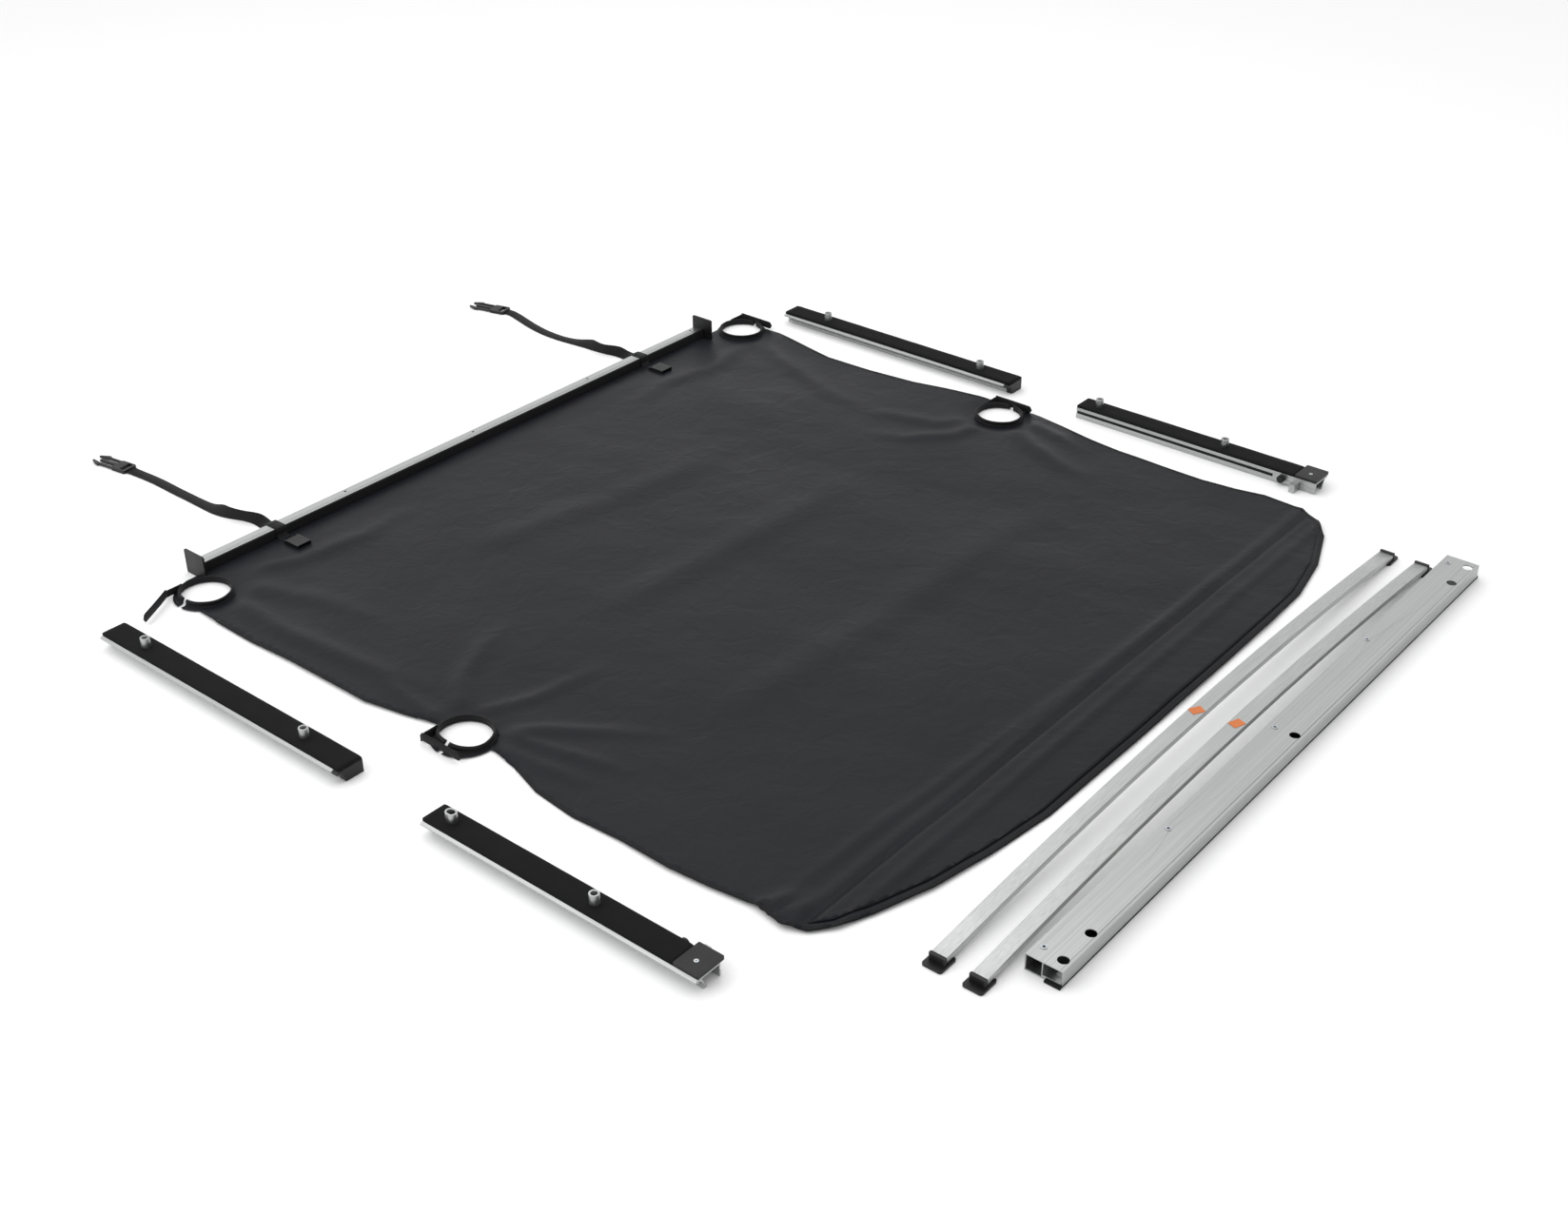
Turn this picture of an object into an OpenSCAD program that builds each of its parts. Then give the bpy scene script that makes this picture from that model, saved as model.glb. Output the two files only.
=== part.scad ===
// Soft tonneau cover kit for a dual-cab utility tray, laid out flat on the floor:
// the fabric cover on its front rail, four side rails, two support bows, a header bar.
// Millimetres. +X across the tray, +Y towards the cab, +Z up, floor at z = 0.

/* [Cover sheet] */
// Thickness of the coated fabric
sheet_t = 2; // [1:0.5:3]
// Distance of the front hem line in front of the origin
hem_y = 668; // [560:1:800]
// Length of the cover from the front hem to the middle of the rear edge
sheet_len = 1652; // [1370:1:1990]
// Half width of the cover to the left
sheet_half_l = 800; // [660:1:960]
// Half width of the cover to the right
sheet_half_r = 822; // [680:1:990]
// Length of the rounded rear corners along the sides
corner_len = 150; // [100:5:200]
// Width of the edge binding
binding_w = 12; // [8:1:18]
// Thickness of the edge binding
binding_t = 1; // [0.5:0.5:2]
// Depth of the rear pocket that holds the stiffener
pocket_depth = 134; // [112:1:160]
// Thickness of the rear pocket layer
pocket_t = 2; // [1:0.5:3]

/* [Collars] */
// Radius of the opening
collar_r = 47; // [39:1:57]
// Height of the sleeve above the fabric
collar_h = 12; // [10:1:15]
// Thickness of the sleeve
collar_t = 2; // [1.5:0.5:3]
// Radius of the piping in the rim
piping_r = 2.5; // [2:0.5:3]
// Width of the sewn foot round the sleeve
foot_flange = 4; // [3:0.5:6]
// Width of the slit on the outer side
slit_w = 10; // [6:1:16]
// Width of the fabric kept round a collar
collar_margin = 6; // [4:1:10]
// Inset of the front left collar from the edge
inset_front_l = 44; // [30:1:60]
// Inset of the front right collar from the edge
inset_front_r = 19; // [10:1:40]
// Inset of the middle left collar from the edge
inset_mid_l = 36; // [20:1:60]
// Inset of the middle right collar from the edge
inset_mid_r = 16; // [10:1:40]
// Distance of the front right collar behind the hem
back_front_r = 53; // [50:1:90]
// Distance of the middle left collar behind the hem
back_mid_l = 784; // [700:1:860]
// Distance of the middle right collar behind the hem
back_mid_r = 790; // [700:1:860]

/* [Closure tabs] */
// Length of a closure tab
tab_len = 95; // [70:1:110]
// Height of a closure tab
tab_h = 17; // [14:1:21]
// Thickness of a closure tab
tab_t = 2.5; // [1.5:0.5:4]
// Angle at which the front left tab lies open
tab_open_a = 60; // [20:1:70]

/* [Front rail] */
// Length of the front rail
rail_len = 1440; // [1200:1:1730]
// Width of the front rail
rail_w = 25; // [21:1:30]
// Height of the front rail
rail_h = 22; // [19:1:27]
// Wall of the front rail
rail_wall = 2; // [1.5:0.5:3]
// Radius of the screw holes through the front rail
rail_hole_r = 2.75; // [2:0.25:3.5]
// Distance from the middle hole to the next one
rail_pitch = 348.5; // [290:0.5:350]
// Radius of the channel for the hem bead
channel_r = 4.2; // [3.5:0.1:5]
// Width of the channel's mouth
channel_mouth = 3; // [2:0.25:4]
// Depth of the rail's end plates
plate_w = 57.5; // [48:0.5:69]
// Height of the end plates
plate_h = 50; // [42:0.5:60]
// Thickness of the end plates
plate_t = 4; // [3:0.5:5]
// How far an end plate stands out in front of the rail
plate_front = 4; // [2:0.5:6]

/* [Straps] */
// Width of the webbing
strap_w = 25; // [20:1:30]
// Thickness of the webbing
strap_t = 1.5; // [1:0.25:2]
// X of the left strap on the rail
strap_l_x = -526; // [-620:1:-400]
// X of the right strap on the rail
strap_r_x = 516; // [400:1:620]
// Radius of a buckle's bar
bar_r = 2; // [1.5:0.25:2.5]
// Thickness of a buckle
buckle_h = 10; // [8:0.5:12]
// Length of the socket half of a buckle
socket_len = 36; // [30:1:44]
// Length of the prong half of a buckle
prong_len = 100; // [84:1:112]

/* [Side rails] */
// Metal height of a side rail
side_h = 24; // [20:1:29]
// Width of the top of a side rail
side_w = 48; // [40:1:58]
// Length of the front side rails, with the cap
side_front_len = 647; // [540:1:690]
// Length of the rear side rails, with the cover plate
side_rear_len = 567; // [480:1:680]
// Gap between the cover's left side and the left rails
side_gap_l = 131; // [110:1:180]
// Gap between the cover's right side and the right rails
side_gap_r = 93; // [85:1:140]
// Front end of the left front rail
left_front_y = 590; // [560:1:640]
// Front end of the left rear rail
left_rear_y = -254; // [-300:1:-200]
// Front end of the right front rail
right_front_y = 571; // [540:1:620]
// Front end of the right rear rail
right_rear_y = -251; // [-300:1:-200]
// Thickness of the foam strip
foam_t = 6; // [4:0.5:8]
// Length of the plastic cap on the front rails
cap_len = 14; // [10:1:20]
// Length of the cover plate on the rear rails
cover_plate_len = 48; // [40:1:58]
// Width by which the cover plate overhangs inboard
cover_plate_over = 9; // [6:1:12]

/* [Spacer tubes] */
// Outer radius of a spacer tube
tube_r = 8.5; // [7:0.25:10]
// Bore radius of a spacer tube
tube_bore_r = 5.5; // [4.5:0.25:6.5]
// Height of a spacer tube above the foam
tube_stand = 18; // [15:0.5:22]
// Extra length of the slotted spacer tube
slot_extra = 4; // [2:0.5:6]
// Distance of the first tube from the front end, left front rail
tube_start_lf = 99; // [80:1:130]
// Spacing of the tubes on the left front rail
tube_pitch_lf = 433; // [360:1:450]
// Distance of the first tube from the front end, rear rails
tube_start_re = 42; // [30:1:70]
// Spacing of the tubes on the rear rails
tube_pitch_re = 304; // [250:1:365]
// Distance of the first tube from the front end, right front rail
tube_start_rf = 112; // [80:1:130]
// Spacing of the tubes on the right front rail
tube_pitch_rf = 437; // [360:1:450]

/* [Release plungers] */
// Radius of the plunger knob
knob_r = 8; // [6.5:0.5:9]
// Length of the plunger knob
knob_len = 8; // [6:0.5:10]
// Radius of the plunger pin
pin_r = 2.5; // [2:0.25:3]
// Running clearance round the pin
pin_gap = 0.05; // [0.02:0.01:0.1]
// Height of the plunger above the floor
plunger_z = 14; // [13:0.5:15]
// Distance of the plunger from the rail's rear end
plunger_back = 74; // [65:1:90]
// Reach of the catch block
catch_reach = 22; // [18:1:26]
// Height of the catch block
catch_h = 17; // [14:1:20]
// Thickness of the catch block
catch_t = 13; // [10:1:16]

/* [Support bows] */
// Chord length of a bow tube
bow_len = 1472; // [1230:1:1760]
// Rise of a bow in the middle
bow_rise = 30; // [24:1:40]
// Width of the bow tube
bow_w = 27; // [22:1:33]
// Thickness of the bow tube
bow_h = 11; // [9:0.5:13]
// Wall of the bow tube
bow_wall = 1.5; // [1:0.25:2]
// Height of the cap's foot under the bow
foot_h = 4; // [3:0.5:6]
// Width of the cap's foot
foot_w = 35; // [32:1:40]
// Length by which the foot stands out past the cap
foot_out = 16; // [12:1:20]
// X of the middle of both bows
bow_x = 22; // [0:1:40]
// Gap from the cover's rear edge to the first bow
bow_gap = 45.5; // [30:0.5:60]
// Pitch of the bows
bow_pitch = 69.5; // [58:0.5:84]
// Size of the plain patch on a bow
patch_w = 24; // [20:1:28]

/* [Header bar] */
// Length of the header bar
header_len = 1450; // [1440:1:1740]
// Depth of the header bar
header_w = 63; // [53:0.5:76]
// Height of the header bar
header_h = 29.5; // [25:0.5:35]
// Wall of the header bar
header_wall = 2; // [1.5:0.5:3]
// Distance of the inner web from the front edge
web_front = 30; // [26:1:34]
// X of the middle of the header bar
header_x = 75; // [40:1:90]
// Gap between the second bow and the header bar
header_gap = 18; // [14:0.5:30]
// Distance of the nut row behind the front edge
nut_back = 13; // [10:0.5:16]
// Radius of a rivet nut's bore
nut_bore_r = 2.5; // [2:0.25:3]
// Radius of a rivet nut's flange
nut_flange_r = 5.5; // [4.5:0.25:6.5]
// Distance of the large hole row behind the front edge
port_back = 49; // [46:0.5:52]
// Radius of the large holes
port_r = 9; // [7.5:0.25:10.5]
// Distance from the middle to the blind holes
port_inner = 630; // [560:1:650]
// Distance from the middle to the through holes
port_outer = 703; // [680:1:705]
// Thickness of the rubber seal
seal_h = 4; // [3:0.5:5]
// Width of the rubber seal
seal_w = 27; // [23:1:29]
// Length of the seal past each end of the bar
seal_out = 6; // [4:1:8]

/* [Hidden] */
$fn = 64;
// clearance between pieces that slip into one another
gap = 0.2;
rear_y = hem_y - sheet_len;
rail_y0 = hem_y;
rail_y1 = hem_y + rail_w;
rail_pitch2 = 2 * rail_pitch;
plate_y1 = rail_y1 + plate_front;
plate_y0 = plate_y1 - plate_w;
plate_r = 3;
channel_y = rail_y0 + 5.8;
channel_z = 13;
bead_r = channel_r - 0.3;
hem_band_t = 2.5;
hem_band_h = 19;
hem_cut = hem_band_t + 0.3;
patch_t = 0.4;

// how far each side stands out or draws in, against the distance behind the hem
left_wave = [
    [0, -50], [30, -18], [80, -2], [170, 4], [270, 6], [370, 2], [470, 2],
    [570, 2], [650, -14], [730, -34], [850, -38], [905, -28], [980, -4],
    [1070, 6], [1170, 2], [1270, 6], [1350, 0], [1430, -10]];
right_wave = [
    [0, -40], [30, -12], [70, 30], [130, 28], [200, 14], [305, -6], [420, -4],
    [540, 8], [620, 24], [700, 38], [800, 42], [850, 38], [920, 28], [1000, 14],
    [1080, 4], [1180, 0], [1280, -2], [1350, 6], [1410, 20]];
// rear edge from the right corner to the left one: distance in from the side,
// distance in front of the rear edge
rear_right = [[-12, 160], [14, 105], [62, 70], [170, 30], [290, 7], [420, 2]];
rear_left = [[470, 3], [330, 19], [210, 40], [110, 72], [50, 96], [15, 124], [0, 160]];

function side_pts(wave, x0, s) = [
    for (p = wave) if (p[0] < sheet_len - corner_len - 50) [s * (x0 + p[1]), hem_y - hem_cut - p[0]]];
function flip(v) = [for (i = [len(v) - 1:-1:0]) v[i]];
outline = concat(
    side_pts(left_wave, sheet_half_l, -1),
    flip([for (p = rear_left) [-sheet_half_l + p[0], rear_y + p[1]]]),
    [[-80, rear_y], [120, rear_y]],
    flip([for (p = rear_right) [sheet_half_r - p[0], rear_y + p[1]]]),
    flip(side_pts(right_wave, sheet_half_r, 1)));
function unit(v) = v / norm(v);
function inward(v, d) = [
    for (i = [0:len(v) - 1])
        let (a = v[(i + len(v) - 1) % len(v)], b = v[(i + 1) % len(v)], u = unit(b - a))
            v[i] + d * [-u[1], u[0]]];
inner_line = inward(outline, binding_w);
pocket_line = inward(outline, binding_w + 2);

// collars: side, centre x, centre y
collar_out_r = collar_r + 2 * piping_r;
collar_foot_r = collar_r + collar_t + foot_flange;
front_l_over = 10.5;
lug_w = 3;
lug_y = collar_out_r - 6;
tab_x = collar_out_r + 0.5;
// a front collar keeps clear of the rail, its hem and its end plates, however long the rail is
function front_y(x, y) =
    let (r = collar_foot_r + gap, half = rail_len / 2, d = max(0, x - half - plate_t, half - x))
        min(y, x - r < half ? hem_y - hem_cut - r : y,
            d < r ? plate_y0 - sqrt(r * r - d * d) : y,
            half + plate_t > x && d < tab_x + tab_t + gap ? plate_y0 - lug_y - lug_w - gap : y);
collar_fl = [-1, -sheet_half_l + inset_front_l,
    front_y(sheet_half_l - inset_front_l, plate_y0 - collar_foot_r + front_l_over)];
collar_fr = [1, sheet_half_r - inset_front_r, front_y(sheet_half_r - inset_front_r, hem_y - back_front_r)];
collar_ml = [-1, -sheet_half_l + inset_mid_l, hem_y - back_mid_l];
collar_mr = [1, sheet_half_r - inset_mid_r, hem_y - back_mid_r];
all_collars = [collar_fl, collar_fr, collar_ml, collar_mr];
tab_z = sheet_t + 2;
pivot_back = tab_t / 2 + 0.35;
function pivot(c) = [c[1] + c[0] * (tab_x + tab_t / 2), c[2] + lug_y - pivot_back];

// side rails
side_outer_l = -sheet_half_l - side_gap_l - side_w;
side_inner_r = sheet_half_r + side_gap_r;
foam_z = side_h;
tube_top = side_h + foam_t + tube_stand;
plate_wall = 3;
wall_t = 3;
bush_r = 4;
bush_flange_r = 6.5;
bush_flange_t = 2;
pin_reach = 6;
screw_r = 2;
screw_head_r = 3.8;

// bows
bow_r = bow_len * bow_len / 8 / bow_rise + bow_rise / 2;
bow_a = asin(bow_len / 2 / bow_r);
bow_y = [rear_y - bow_gap - bow_w / 2, rear_y - bow_gap - bow_w / 2 - bow_pitch];
cap_t = 4;
cap_h = foot_h + bow_h + 1;
ledge = 20;
plug_len = 12;
bow_top = foot_h + bow_rise + bow_h;

// header bar
header_y1 = bow_y[1] - bow_w / 2 - header_gap;
header_y0 = header_y1 - header_w;
nut_flange_t = 1;
nut_body_r = 4;
nut_len = 12;

// webbing routes on the floor: x from the rail crossing, y from the rail's front
// face, height of the lower edge, twist about the run
route_l = [
    [0, 0, 22, 0], [0, 6, 20, 0], [2, 14, 12, 5], [4, 24, 4, 15], [6, 40, 0, 35], [0, 58, 0, 75],
    [-8, 84, 0, 90], [-17, 116, 0, 75], [-18, 150, 0, 35], [-17, 184, 0, 8], [-16, 236, 0, 0],
    [-16, 290, 0, 0], [-15, 350, 0, 0], [-17, 395, 0, 0], [-20, 425, 1, 0], [-22, 440, 2, 0]];
route_r = [
    [0, 0, 22, 0], [0, 6, 20, 0], [2, 14, 12, 5], [5, 24, 4, 15], [4, 42, 0, 35], [-3, 62, 0, 75],
    [-12, 90, 0, 90], [-12, 118, 0, 75], [-7, 150, 0, 35], [-9, 190, 0, 8], [-13, 235, 0, 0],
    [-12, 285, 0, 0], [-4, 335, 0, 0], [6, 375, 0, 0], [15, 410, 0, 0], [18, 430, 1, 0], [16, 445, 2, 0]];
prong_a_l = 8;
prong_a_r = 14;

module rounded(w, h, r) {
    translate([r, 0]) square([w - 2 * r, h]);
    translate([0, r]) square([w, h - 2 * r]);
    for (x = [r, w - r], y = [r, h - r]) translate([x, y]) circle(r = r);
}

// ---- cover -------------------------------------------------------------
module collar_holes(z0, z1) {
    for (c = all_collars) translate([c[1], c[2], z0]) {
        cylinder(r = collar_r, h = z1 - z0);
        translate([c[0] > 0 ? 0 : -2 * collar_foot_r, -slit_w / 2, 0])
            cube([2 * collar_foot_r, slit_w, z1 - z0]);
    }
}

module sheet_outline() {
    polygon(outline);
    for (c = all_collars) translate([c[1], c[2]]) circle(r = collar_foot_r + collar_margin);
}

module cover_sheet() {
    color([0.17, 0.17, 0.18]) difference() {
        linear_extrude(sheet_t) sheet_outline();
        collar_holes(-1, sheet_t + 1);
        translate([-rail_len / 2 - gap, hem_y - hem_cut, -1])
            cube([rail_len + 2 * gap, rail_w + hem_cut + 1, sheet_t + 2]);
        for (s = [-1, 1]) translate([s * (rail_len + plate_t) / 2 - plate_t / 2 - 2 * gap, plate_y0 - 2 * gap, -1])
            cube([plate_t + 4 * gap, plate_w, sheet_t + 2]);
    }
}

module edge_binding() {
    color([0.12, 0.12, 0.12]) translate([0, 0, sheet_t]) linear_extrude(binding_t) difference() {
        polygon(outline);
        polygon(inner_line);
        translate([-sheet_half_l, hem_y - 3 * binding_w])
            square([sheet_half_l + sheet_half_r, 3 * binding_w]);
        for (c = all_collars) translate([c[1], c[2]]) circle(r = collar_foot_r + tab_len / 2);
    }
}

module rear_pocket() {
    color([0.15, 0.15, 0.16]) translate([0, 0, sheet_t]) linear_extrude(pocket_t) intersection() {
        polygon(pocket_line);
        translate([-sheet_half_l, rear_y - 1])
            square([sheet_half_l + sheet_half_r, pocket_depth + 1]);
    }
}

module collar(c) {
    color([0.14, 0.14, 0.15]) translate([c[1], c[2], sheet_t]) difference() {
        union() {
            rotate_extrude() {
                translate([collar_r, 0]) square([collar_t, collar_h]);
                translate([collar_r, 0]) square([collar_t + foot_flange, 1.5]);
                translate([collar_r + piping_r, collar_h - piping_r]) circle(r = piping_r);
            }
            intersection() {
                translate([c[0] > 0 ? 0 : -tab_x - tab_t, lug_y, 0])
                    cube([tab_x + tab_t, lug_w, collar_h + 2]);
                difference() {
                    cylinder(r = 2 * collar_foot_r, h = 2 * collar_h);
                    translate([0, 0, -1]) cylinder(r = collar_r + 1, h = 3 * collar_h);
                }
            }
        }
        translate([c[0] > 0 ? 0 : -2 * collar_foot_r, -slit_w / 2, -1])
            cube([2 * collar_foot_r, slit_w, 2 * collar_h]);
    }
}
module collar_front_left() { collar(collar_fl); }
module collar_front_right() { collar(collar_fr); }
module collar_mid_left() { collar(collar_ml); }
module collar_mid_right() { collar(collar_mr); }

module tab(c, a) {
    p = pivot(c);
    color([0.11, 0.11, 0.11]) translate([p[0], p[1], tab_z]) rotate([0, 0, c[0] * a]) {
        translate([-tab_t / 2, -tab_len + tab_t / 2, 0]) cube([tab_t, tab_len - tab_t / 2, tab_h]);
        cylinder(r = tab_t / 2, h = tab_h);
    }
}
module tab_front_left() { tab(collar_fl, tab_open_a); }
module tab_front_right() { tab(collar_fr, 0); }
module tab_mid_left() { tab(collar_ml, 0); }
module tab_mid_right() { tab(collar_mr, 0); }

// ---- front rail --------------------------------------------------------
module along_x(x0, len) {
    translate([x0, 0, 0]) rotate([90, 0, 90]) linear_extrude(len) children();
}

module front_rail() {
    chamber_y = channel_y + channel_r + rail_wall;
    color([0.75, 0.76, 0.76]) difference() {
        along_x(-rail_len / 2, rail_len) difference() {
            translate([rail_y0, 0]) square([rail_w, rail_h]);
            translate([channel_y, channel_z]) circle(r = channel_r);
            translate([rail_y0 - 1, channel_z - channel_mouth / 2])
                square([channel_y - rail_y0 + 1, channel_mouth]);
            translate([chamber_y, rail_wall])
                square([rail_y1 - rail_wall - chamber_y, rail_h - 2 * rail_wall]);
            for (i = [0:2]) translate([rail_y0 + 3 + 3 * i, rail_h - 0.6]) square([1, 1]);
        }
        for (i = [-2:2]) translate([i * rail_pitch, chamber_y + 4.5, -1])
            cylinder(r = rail_hole_r, h = rail_h + 2);
    }
}

module front_hem() {
    color([0.10, 0.10, 0.10]) along_x(-rail_len / 2, rail_len) {
        translate([channel_y, channel_z]) circle(r = bead_r);
        translate([rail_y0 - 1, channel_z - channel_mouth / 2 + 0.3])
            square([channel_y - rail_y0 + 1, channel_mouth - 0.6]);
        translate([rail_y0 - gap - hem_band_t, 0]) square([hem_band_t, sheet_t + hem_band_h]);
    }
}

module end_plate(s) {
    chamber_y = channel_y + channel_r + rail_wall;
    color([0.09, 0.09, 0.09]) translate([s > 0 ? rail_len / 2 : -rail_len / 2, 0, 0])
        mirror([s > 0 ? 0 : 1, 0, 0]) {
            along_x(0, plate_t) translate([plate_y0, 0]) rounded(plate_w, plate_h, plate_r);
            translate([-plug_len, chamber_y + gap, rail_wall + gap])
                cube([plug_len + 1, rail_y1 - rail_wall - chamber_y - 2 * gap,
                    rail_h - 2 * rail_wall - 2 * gap]);
        }
}
module end_plate_left() { end_plate(-1); }
module end_plate_right() { end_plate(1); }

// ---- straps ------------------------------------------------------------
sock_bar_y = hem_y - 32;
sock_bar_z = sheet_t + bar_r + gap + strap_t;
loop_r = bar_r + gap + strap_t;

module strap_anchor(x) {
    back = rail_y0 - gap - hem_band_t;
    color([0.08, 0.08, 0.08]) translate([x, 0, 0]) along_x(-strap_w / 2, strap_w) difference() {
        union() {
            translate([sock_bar_y, sheet_t]) square([back - sock_bar_y, strap_t]);
            translate([back - strap_t, sheet_t]) square([strap_t, rail_h + strap_t - sheet_t]);
            translate([back - strap_t, rail_h]) square([rail_y1 - back + strap_t, strap_t]);
            translate([sock_bar_y, sock_bar_z]) circle(r = loop_r);
        }
        translate([sock_bar_y, sock_bar_z]) circle(r = loop_r - strap_t);
    }
}
module strap_anchor_left() { strap_anchor(strap_l_x); }
module strap_anchor_right() { strap_anchor(strap_r_x); }

module socket_buckle(x) {
    half = strap_w / 2 + 4;
    inner = strap_w / 2 + 1;
    y1 = sock_bar_y - loop_r - 1;
    color([0.06, 0.06, 0.06]) translate([x, 0, sheet_t]) {
        difference() {
            translate([-half, y1 - socket_len, 0]) cube([2 * half, socket_len, buckle_h]);
            translate([-inner, y1 - socket_len - 1, 2]) cube([2 * inner, socket_len - 5, buckle_h - 4]);
        }
        for (s = [-1, 1]) translate([s > 0 ? inner : -half, y1 - 1, 0])
            cube([half - inner, sock_bar_y - y1 + bar_r + 1, buckle_h - 2]);
        translate([-inner - 1, sock_bar_y, sock_bar_z - sheet_t]) rotate([0, 90, 0])
            cylinder(r = bar_r, h = 2 * inner + 2);
    }
}
module socket_buckle_left() { socket_buckle(strap_l_x); }
module socket_buckle_right() { socket_buckle(strap_r_x); }

// a flat band swept along its route, turned about the run by the route's twist
function lift(q) = max(q[2], gap) + strap_w / 2 * abs(sin(q[3])) + strap_t / 2 * abs(cos(q[3]));
function cr(a, b, c, d, t) = b + t / 2 * (c - a + t * (2 * a - 5 * b + 4 * c - d + t * (3 * (b - c) + d - a)));
function smooth(v, n) = [
    for (i = [0:len(v) - 2], k = [0:n - 1])
        cr(v[max(i - 1, 0)], v[i], v[i + 1], v[min(i + 2, len(v) - 1)], k / n), v[len(v) - 1]];
module band(x, route, end_a) {
    raw = smooth(route, 3);
    pts = [for (q = raw) [x + q[0], rail_y1 + q[1], lift(q)]];
    last = len(pts) - 1;
    dirs = [for (i = [0:last]) i == 0 ? [0, 1, 0] : i == last ? [-sin(end_a), cos(end_a), 0]
        : unit(pts[i + 1] - pts[i - 1])];
    ring = [for (i = [0:last])
        let (d = dirs[i], side = unit(cross(d, [0, 0, 1])), up = cross(side, d),
            w = side * cos(raw[i][3]) + up * sin(raw[i][3]),
            n = up * cos(raw[i][3]) - side * sin(raw[i][3]))
            [for (k = [[-1, -1], [1, -1], [1, 1], [-1, 1]])
                pts[i] + k[0] * strap_w / 2 * w + k[1] * strap_t / 2 * n]];
    verts = [for (r = ring) each r];
    // both broad faces are split along the same diagonal, so that a twist can't cross them
    quads = [for (i = [0:last - 1], k = [0:3])
        let (a = 4 * i + k, b = 4 * i + (k + 1) % 4)
            each k == 2 ? [[a, a + 4, b + 4], [a, b + 4, b]] : [[a, a + 4, b], [b, a + 4, b + 4]]];
    color([0.08, 0.08, 0.08]) polyhedron(points = verts,
        faces = concat(quads, [[0, 1, 2], [0, 2, 3],
            [4 * last + 2, 4 * last + 1, 4 * last], [4 * last + 3, 4 * last + 2, 4 * last]]));
}
module strap_left() { band(strap_l_x, route_l, prong_a_l); }
module strap_right() { band(strap_r_x, route_r, prong_a_r); }

module prong_buckle(x, route, a) {
    e = route[len(route) - 1];
    half = strap_w / 2 + 5;
    color([0.06, 0.06, 0.06]) translate([x + e[0], rail_y1 + e[1], 0]) rotate([0, 0, a])
        translate([0, gap, 0]) {
        linear_extrude(buckle_h - 3) difference() {
            translate([-half, 0]) rounded(2 * half, 40, 4);
            translate([-strap_w / 2 - 1, 6]) square([strap_w + 2, 12]);
        }
        translate([0, 0, 1.5]) linear_extrude(buckle_h - 6) {
            translate([-4, 38]) square([8, prong_len - 52]);
            for (s = [-1, 1]) mirror([s > 0 ? 0 : 1, 0])
                polygon([[half - 6, 38], [half - 1, 38], [half - 1, prong_len - 26], [half + 2, prong_len - 24],
                    [half + 2, prong_len - 18], [half - 6, prong_len], [half - 10, prong_len],
                    [half - 6, prong_len - 24]]);
        }
    }
}
module prong_buckle_left() { prong_buckle(strap_l_x, route_l, prong_a_l); }
module prong_buckle_right() { prong_buckle(strap_r_x, route_r, prong_a_r); }

// ---- side rails --------------------------------------------------------
// Section: u from the flanged edge inboard, z up. The flange tip stands 5 out.
module side_section() {
    polygon([[-5, side_h - 5], [-5, side_h - 2], [0, side_h], [side_w, side_h],
        [side_w, 17], [side_w - 1.2, 17], [side_w - 1.2, 10.5], [side_w, 10.5],
        [side_w, 0], [side_w - wall_t, 0], [side_w - wall_t, side_h - plate_wall],
        [8, side_h - plate_wall], [18, 3], [18, 0], [11.5, 0], [11.5, 6],
        [13.5, 6], [5.5, side_h - 5]]);
}

// place a rail: x of the flanged edge, direction inboard, y of the front end
module rail_frame(x, s, y1) {
    translate([x, y1, 0]) mirror([s > 0 ? 0 : 1, 0, 0]) children();
}
module run_back(d0, len) {
    translate([0, -d0, 0]) rotate([90, 0, 0]) linear_extrude(len) children();
}
function tubes(start, pitch) = [start, start + pitch];
module tube_cuts(ds, r, z0, z1, slot = 0) {
    for (i = [0, 1]) translate([side_w / 2, -ds[i], z0]) {
        cylinder(r = r, h = z1 - z0);
        if (i == 0 && slot > 0) {
            translate([0, -slot / 2, 0]) cylinder(r = r, h = z1 - z0);
            translate([0, slot / 2, 0]) cylinder(r = r, h = z1 - z0);
            translate([-r, -slot / 2, 0]) cube([2 * r, slot, z1 - z0]);
        }
    }
}

module side_rail(len, ds, slot, plunger_d) {
    color([0.74, 0.75, 0.75]) difference() {
        run_back(0, len) side_section();
        tube_cuts(ds, tube_r, side_h - plate_wall - 1, side_h + 1, slot);
        if (plunger_d > 0) translate([side_w - wall_t - 1, -plunger_d, plunger_z]) rotate([0, 90, 0])
            cylinder(r = bush_r, h = wall_t + 2);
    }
}
module foam(len, ds, slot) {
    color([0.10, 0.10, 0.10]) difference() {
        run_back(0, len) translate([0, foam_z]) square([side_w, foam_t]);
        tube_cuts(ds, tube_r, foam_z - 1, foam_z + foam_t + 1, slot);
    }
}
module spacer_tubes(ds, slot) {
    color([0.80, 0.80, 0.78]) difference() {
        tube_cuts(ds, tube_r, side_h - plate_wall, tube_top, slot);
        tube_cuts(ds, tube_bore_r, 0, tube_top + 1, slot);
    }
}
ds_lf = tubes(tube_start_lf, tube_pitch_lf);
ds_rf = tubes(tube_start_rf, tube_pitch_rf);
ds_re = tubes(tube_start_re, tube_pitch_re);
front_metal = side_front_len - cap_len;
plunger_d = side_rear_len - plunger_back;
foam_rear_len = side_rear_len - cover_plate_len;

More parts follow.
